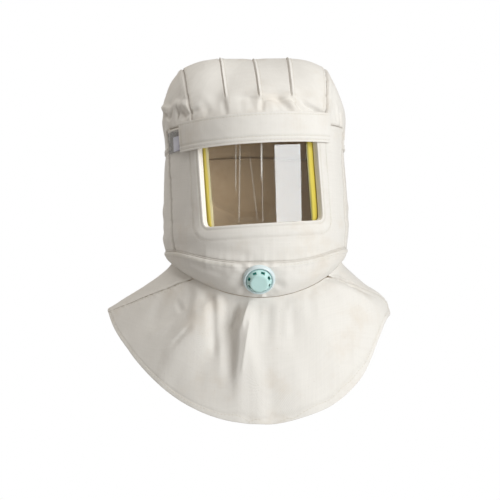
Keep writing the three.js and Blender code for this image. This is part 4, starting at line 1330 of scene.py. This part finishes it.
def make_tape():
    """Binding tape behind the seams, half way between a line at each side of them."""
    walls, capes = surface_of(*WALL_PIECES), surface_of(*CAPE_PIECES)
    curve = bpy.data.curves.new("seam_tape", "CURVE")
    curve.dimensions = "3D"
    curve.bevel_depth = TAPE_RADIUS
    curve.bevel_resolution = 1
    curve.use_fill_caps = True
    sides = (-TAPE_BESIDE, TAPE_BESIDE)
    seams = [(wall_spot, walls, [line(off) for off in sides]) for line in (chin_line, crown_line)]
    for side in (-1, 1):
        seams.append((wall_spot, walls, [panel_line(side, off) for off in sides]))
        seams.append((wall_spot, walls, [back_line(side, off) for off in sides]))
        seams.append((cape_spot, capes, [shoulder_line(side, off) for off in (-1.2, 1.2)]))
    for find, tree, lines in seams:
        middles = []
        for first, second in zip(*lines):
            spots = [find(tree, *first), find(tree, *second)]
            if None in spots or (spots[0][0] - spots[1][0]).length > 12 * MM:
                continue
            inward = -(spots[0][1] + spots[1][1]).normalized()
            middles.append((spots[0][0] + spots[1][0]) / 2 + inward * TAPE_BEHIND)
        spline = curve.splines.new("POLY")
        spline.points.add(len(middles) - 1)
        for point, place in zip(spline.points, middles):
            point.co = (*place, 1)
    draft = link(bpy.data.objects.new("seam_tape_line", curve))
    bpy.context.view_layer.update()
    data = bpy.data.meshes.new_from_object(draft)
    bpy.data.objects.remove(draft)
    data.name = "seam_tape"
    smooth(data)
    canvas_on_both_sides(data, wall_out)
    places = Places(points_of(data))
    add_uv(data, wall_flat(places.turn, places.height))
    # A high seam value darkens the tape: painted shade in the gap between the panels.
    add_values(data, "seam", np.full(len(places.co), 0.7))
    piece = link(bpy.data.objects.new("seam_tape", data))
    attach(piece, "root")


class HOOD_OT_sewing(bpy.types.Operator):
    """Sew the stitches and the binding tape behind the seams"""

    bl_idname = "hood.sewing"
    bl_label = "Sewing"

    def execute(self, context):
        make_stitches()
        make_tape()
        return {"FINISHED"}


HOOD_MIDDLE = (0, 0, -0.22)
# Lamps: name, place and target, width and height, watts, and colour
LAMPS = [
    ("Key", (1.2, -1.39, 0.12), HOOD_MIDDLE, (1.3, 1.4), 34, (0.975, 1.0, 1.015)),
    ("Overhead", (-0.3, -0.6, 1.5), HOOD_MIDDLE, (1.0, 0.8), 11, (1.0, 0.985, 0.96)),
    ("Far left", (-1.4, 0.85, 0.4), HOOD_MIDDLE, (0.9, 1.2), 8.5, (1.0, 0.98, 0.95)),
    # Stands in for light that comes through the canvas
    ("Inside", (-0.025, 0.03, -0.18), (-0.085, 0.12, -0.185), (0.04, 0.04), 0.045, (1.0, 0.92, 0.8)),
]
FILL_COLOUR = (1.0, 0.905, 0.80, 1)
FLOOR_HEIGHT = -1.25
FLOOR_RADIUS = 1.7
CAMERA_TURN = 4
CAMERA_ROLL = -1
CAMERA_HEIGHT = -0.263
CAMERA_DISTANCE = 1.17


def area_light(name, place, target, size, energy, colour):
    light = bpy.data.lights.new(name, "AREA")
    light.shape = "RECTANGLE"
    light.size, light.size_y = size
    light.energy = energy
    light.color = colour
    lamp = link(bpy.data.objects.new(name, light))
    lamp.location = place
    lamp.rotation_euler = (Vector(target) - Vector(place)).to_track_quat("-Z", "Y").to_euler()


def make_world():
    """White behind the hood, and a warm fill light on it."""
    world = bpy.data.worlds.new("Studio")
    world.use_nodes = True
    bpy.context.scene.world = world
    nodes = Nodes(world.node_tree)
    world.node_tree.nodes.clear()
    path = nodes.add("ShaderNodeLightPath")
    seen = nodes.add("ShaderNodeBackground", {"Color": (1, 1, 1, 1), "Strength": 1.0})
    fill = nodes.add("ShaderNodeBackground", {"Color": FILL_COLOUR, "Strength": 0.21})
    inputs = {0: path.outputs["Is Camera Ray"], 1: fill.outputs[0], 2: seen.outputs[0]}
    both = nodes.add("ShaderNodeMixShader", inputs)
    nodes.add("ShaderNodeOutputWorld", {"Surface": both.outputs[0]})


def make_floor():
    mesh = bmesh.new()
    bmesh.ops.create_circle(mesh, cap_ends=True, segments=96, radius=FLOOR_RADIUS)
    bmesh.ops.translate(mesh, verts=mesh.verts, vec=(0, 0, FLOOR_HEIGHT))
    data = data_from(mesh, "floor")
    floor = link(bpy.data.objects.new("floor", data))
    nodes, surface = new_material("floor_white")
    nodes.fill(surface, {
        "Base Color": (0.5, 0.5, 0.5, 1),
        "Roughness": 0.9,
        "Emission Color": (1, 1, 1, 1),
        "Emission Strength": 0.42,
    })
    data.materials.append(materials["floor_white"])


def make_camera():
    data = bpy.data.cameras.new("Camera")
    data.sensor_width = 36
    data.lens = 61.02
    data.shift_x = -0.012
    data.clip_start = 0.05
    data.clip_end = 20
    camera = link(bpy.data.objects.new("Camera", data))
    ahead = Vector((math.sin(CAMERA_TURN * DEGREE), math.cos(CAMERA_TURN * DEGREE), 0))
    place = Matrix.Translation(Vector((0, 0, CAMERA_HEIGHT)) - CAMERA_DISTANCE * ahead)
    level = ahead.to_track_quat("-Z", "Y").to_matrix().to_4x4()
    camera.matrix_world = place @ level @ Matrix.Rotation(CAMERA_ROLL * DEGREE, 4, "Z")
    bpy.context.scene.camera = camera


class HOOD_OT_studio(bpy.types.Operator):
    """Make the floor, the lights and the camera"""

    bl_idname = "hood.studio"
    bl_label = "Studio"

    def execute(self, context):
        context.scene.view_settings.view_transform = "Standard"
        make_world()
        make_floor()
        make_camera()
        for lamp in LAMPS:
            area_light(*lamp)
        return {"FINISHED"}


class HOOD_PT_side(bpy.types.Panel):
    """Lists the hood's operators and its sizes"""

    bl_label = "Sandblasting hood"
    bl_space_type = "VIEW_3D"
    bl_region_type = "UI"
    bl_category = "Hood"

    def draw(self, context):
        layout = self.layout
        for each in CLASSES:
            if issubclass(each, bpy.types.Operator):
                layout.operator(each.bl_idname)
        for name in HoodSizes.__annotations__:
            layout.prop(context.scene.hood_sizes, name)
        for name in HoodColours.__annotations__:
            layout.prop(context.scene.hood_colours, name)


CLASSES = (
    HoodSizes,
    HoodColours,
    HOOD_OT_crown,
    HOOD_OT_panels,
    HOOD_OT_chin,
    HOOD_OT_strap,
    HOOD_OT_window,
    HOOD_OT_valve,
    HOOD_OT_cape,
    HOOD_OT_sewing,
    HOOD_OT_studio,
    HOOD_PT_side,
)


def register():
    for each in CLASSES:
        bpy.utils.register_class(each)
    bpy.types.Scene.hood_sizes = PointerProperty(type=HoodSizes)
    bpy.types.Scene.hood_colours = PointerProperty(type=HoodColours)


def unregister():
    del bpy.types.Scene.hood_colours
    del bpy.types.Scene.hood_sizes
    for each in reversed(CLASSES):
        bpy.utils.unregister_class(each)


def main():
    register()
    make_materials()
    bpy.ops.hood.studio()
    bpy.ops.hood.crown()
    bpy.ops.hood.panels()
    bpy.ops.hood.chin()
    bpy.ops.hood.strap()
    bpy.ops.hood.window()
    bpy.ops.hood.valve()
    bpy.ops.hood.cape()
    bpy.ops.hood.sewing()
    bpy.context.view_layer.update()


if __name__ == "__main__":
    main()
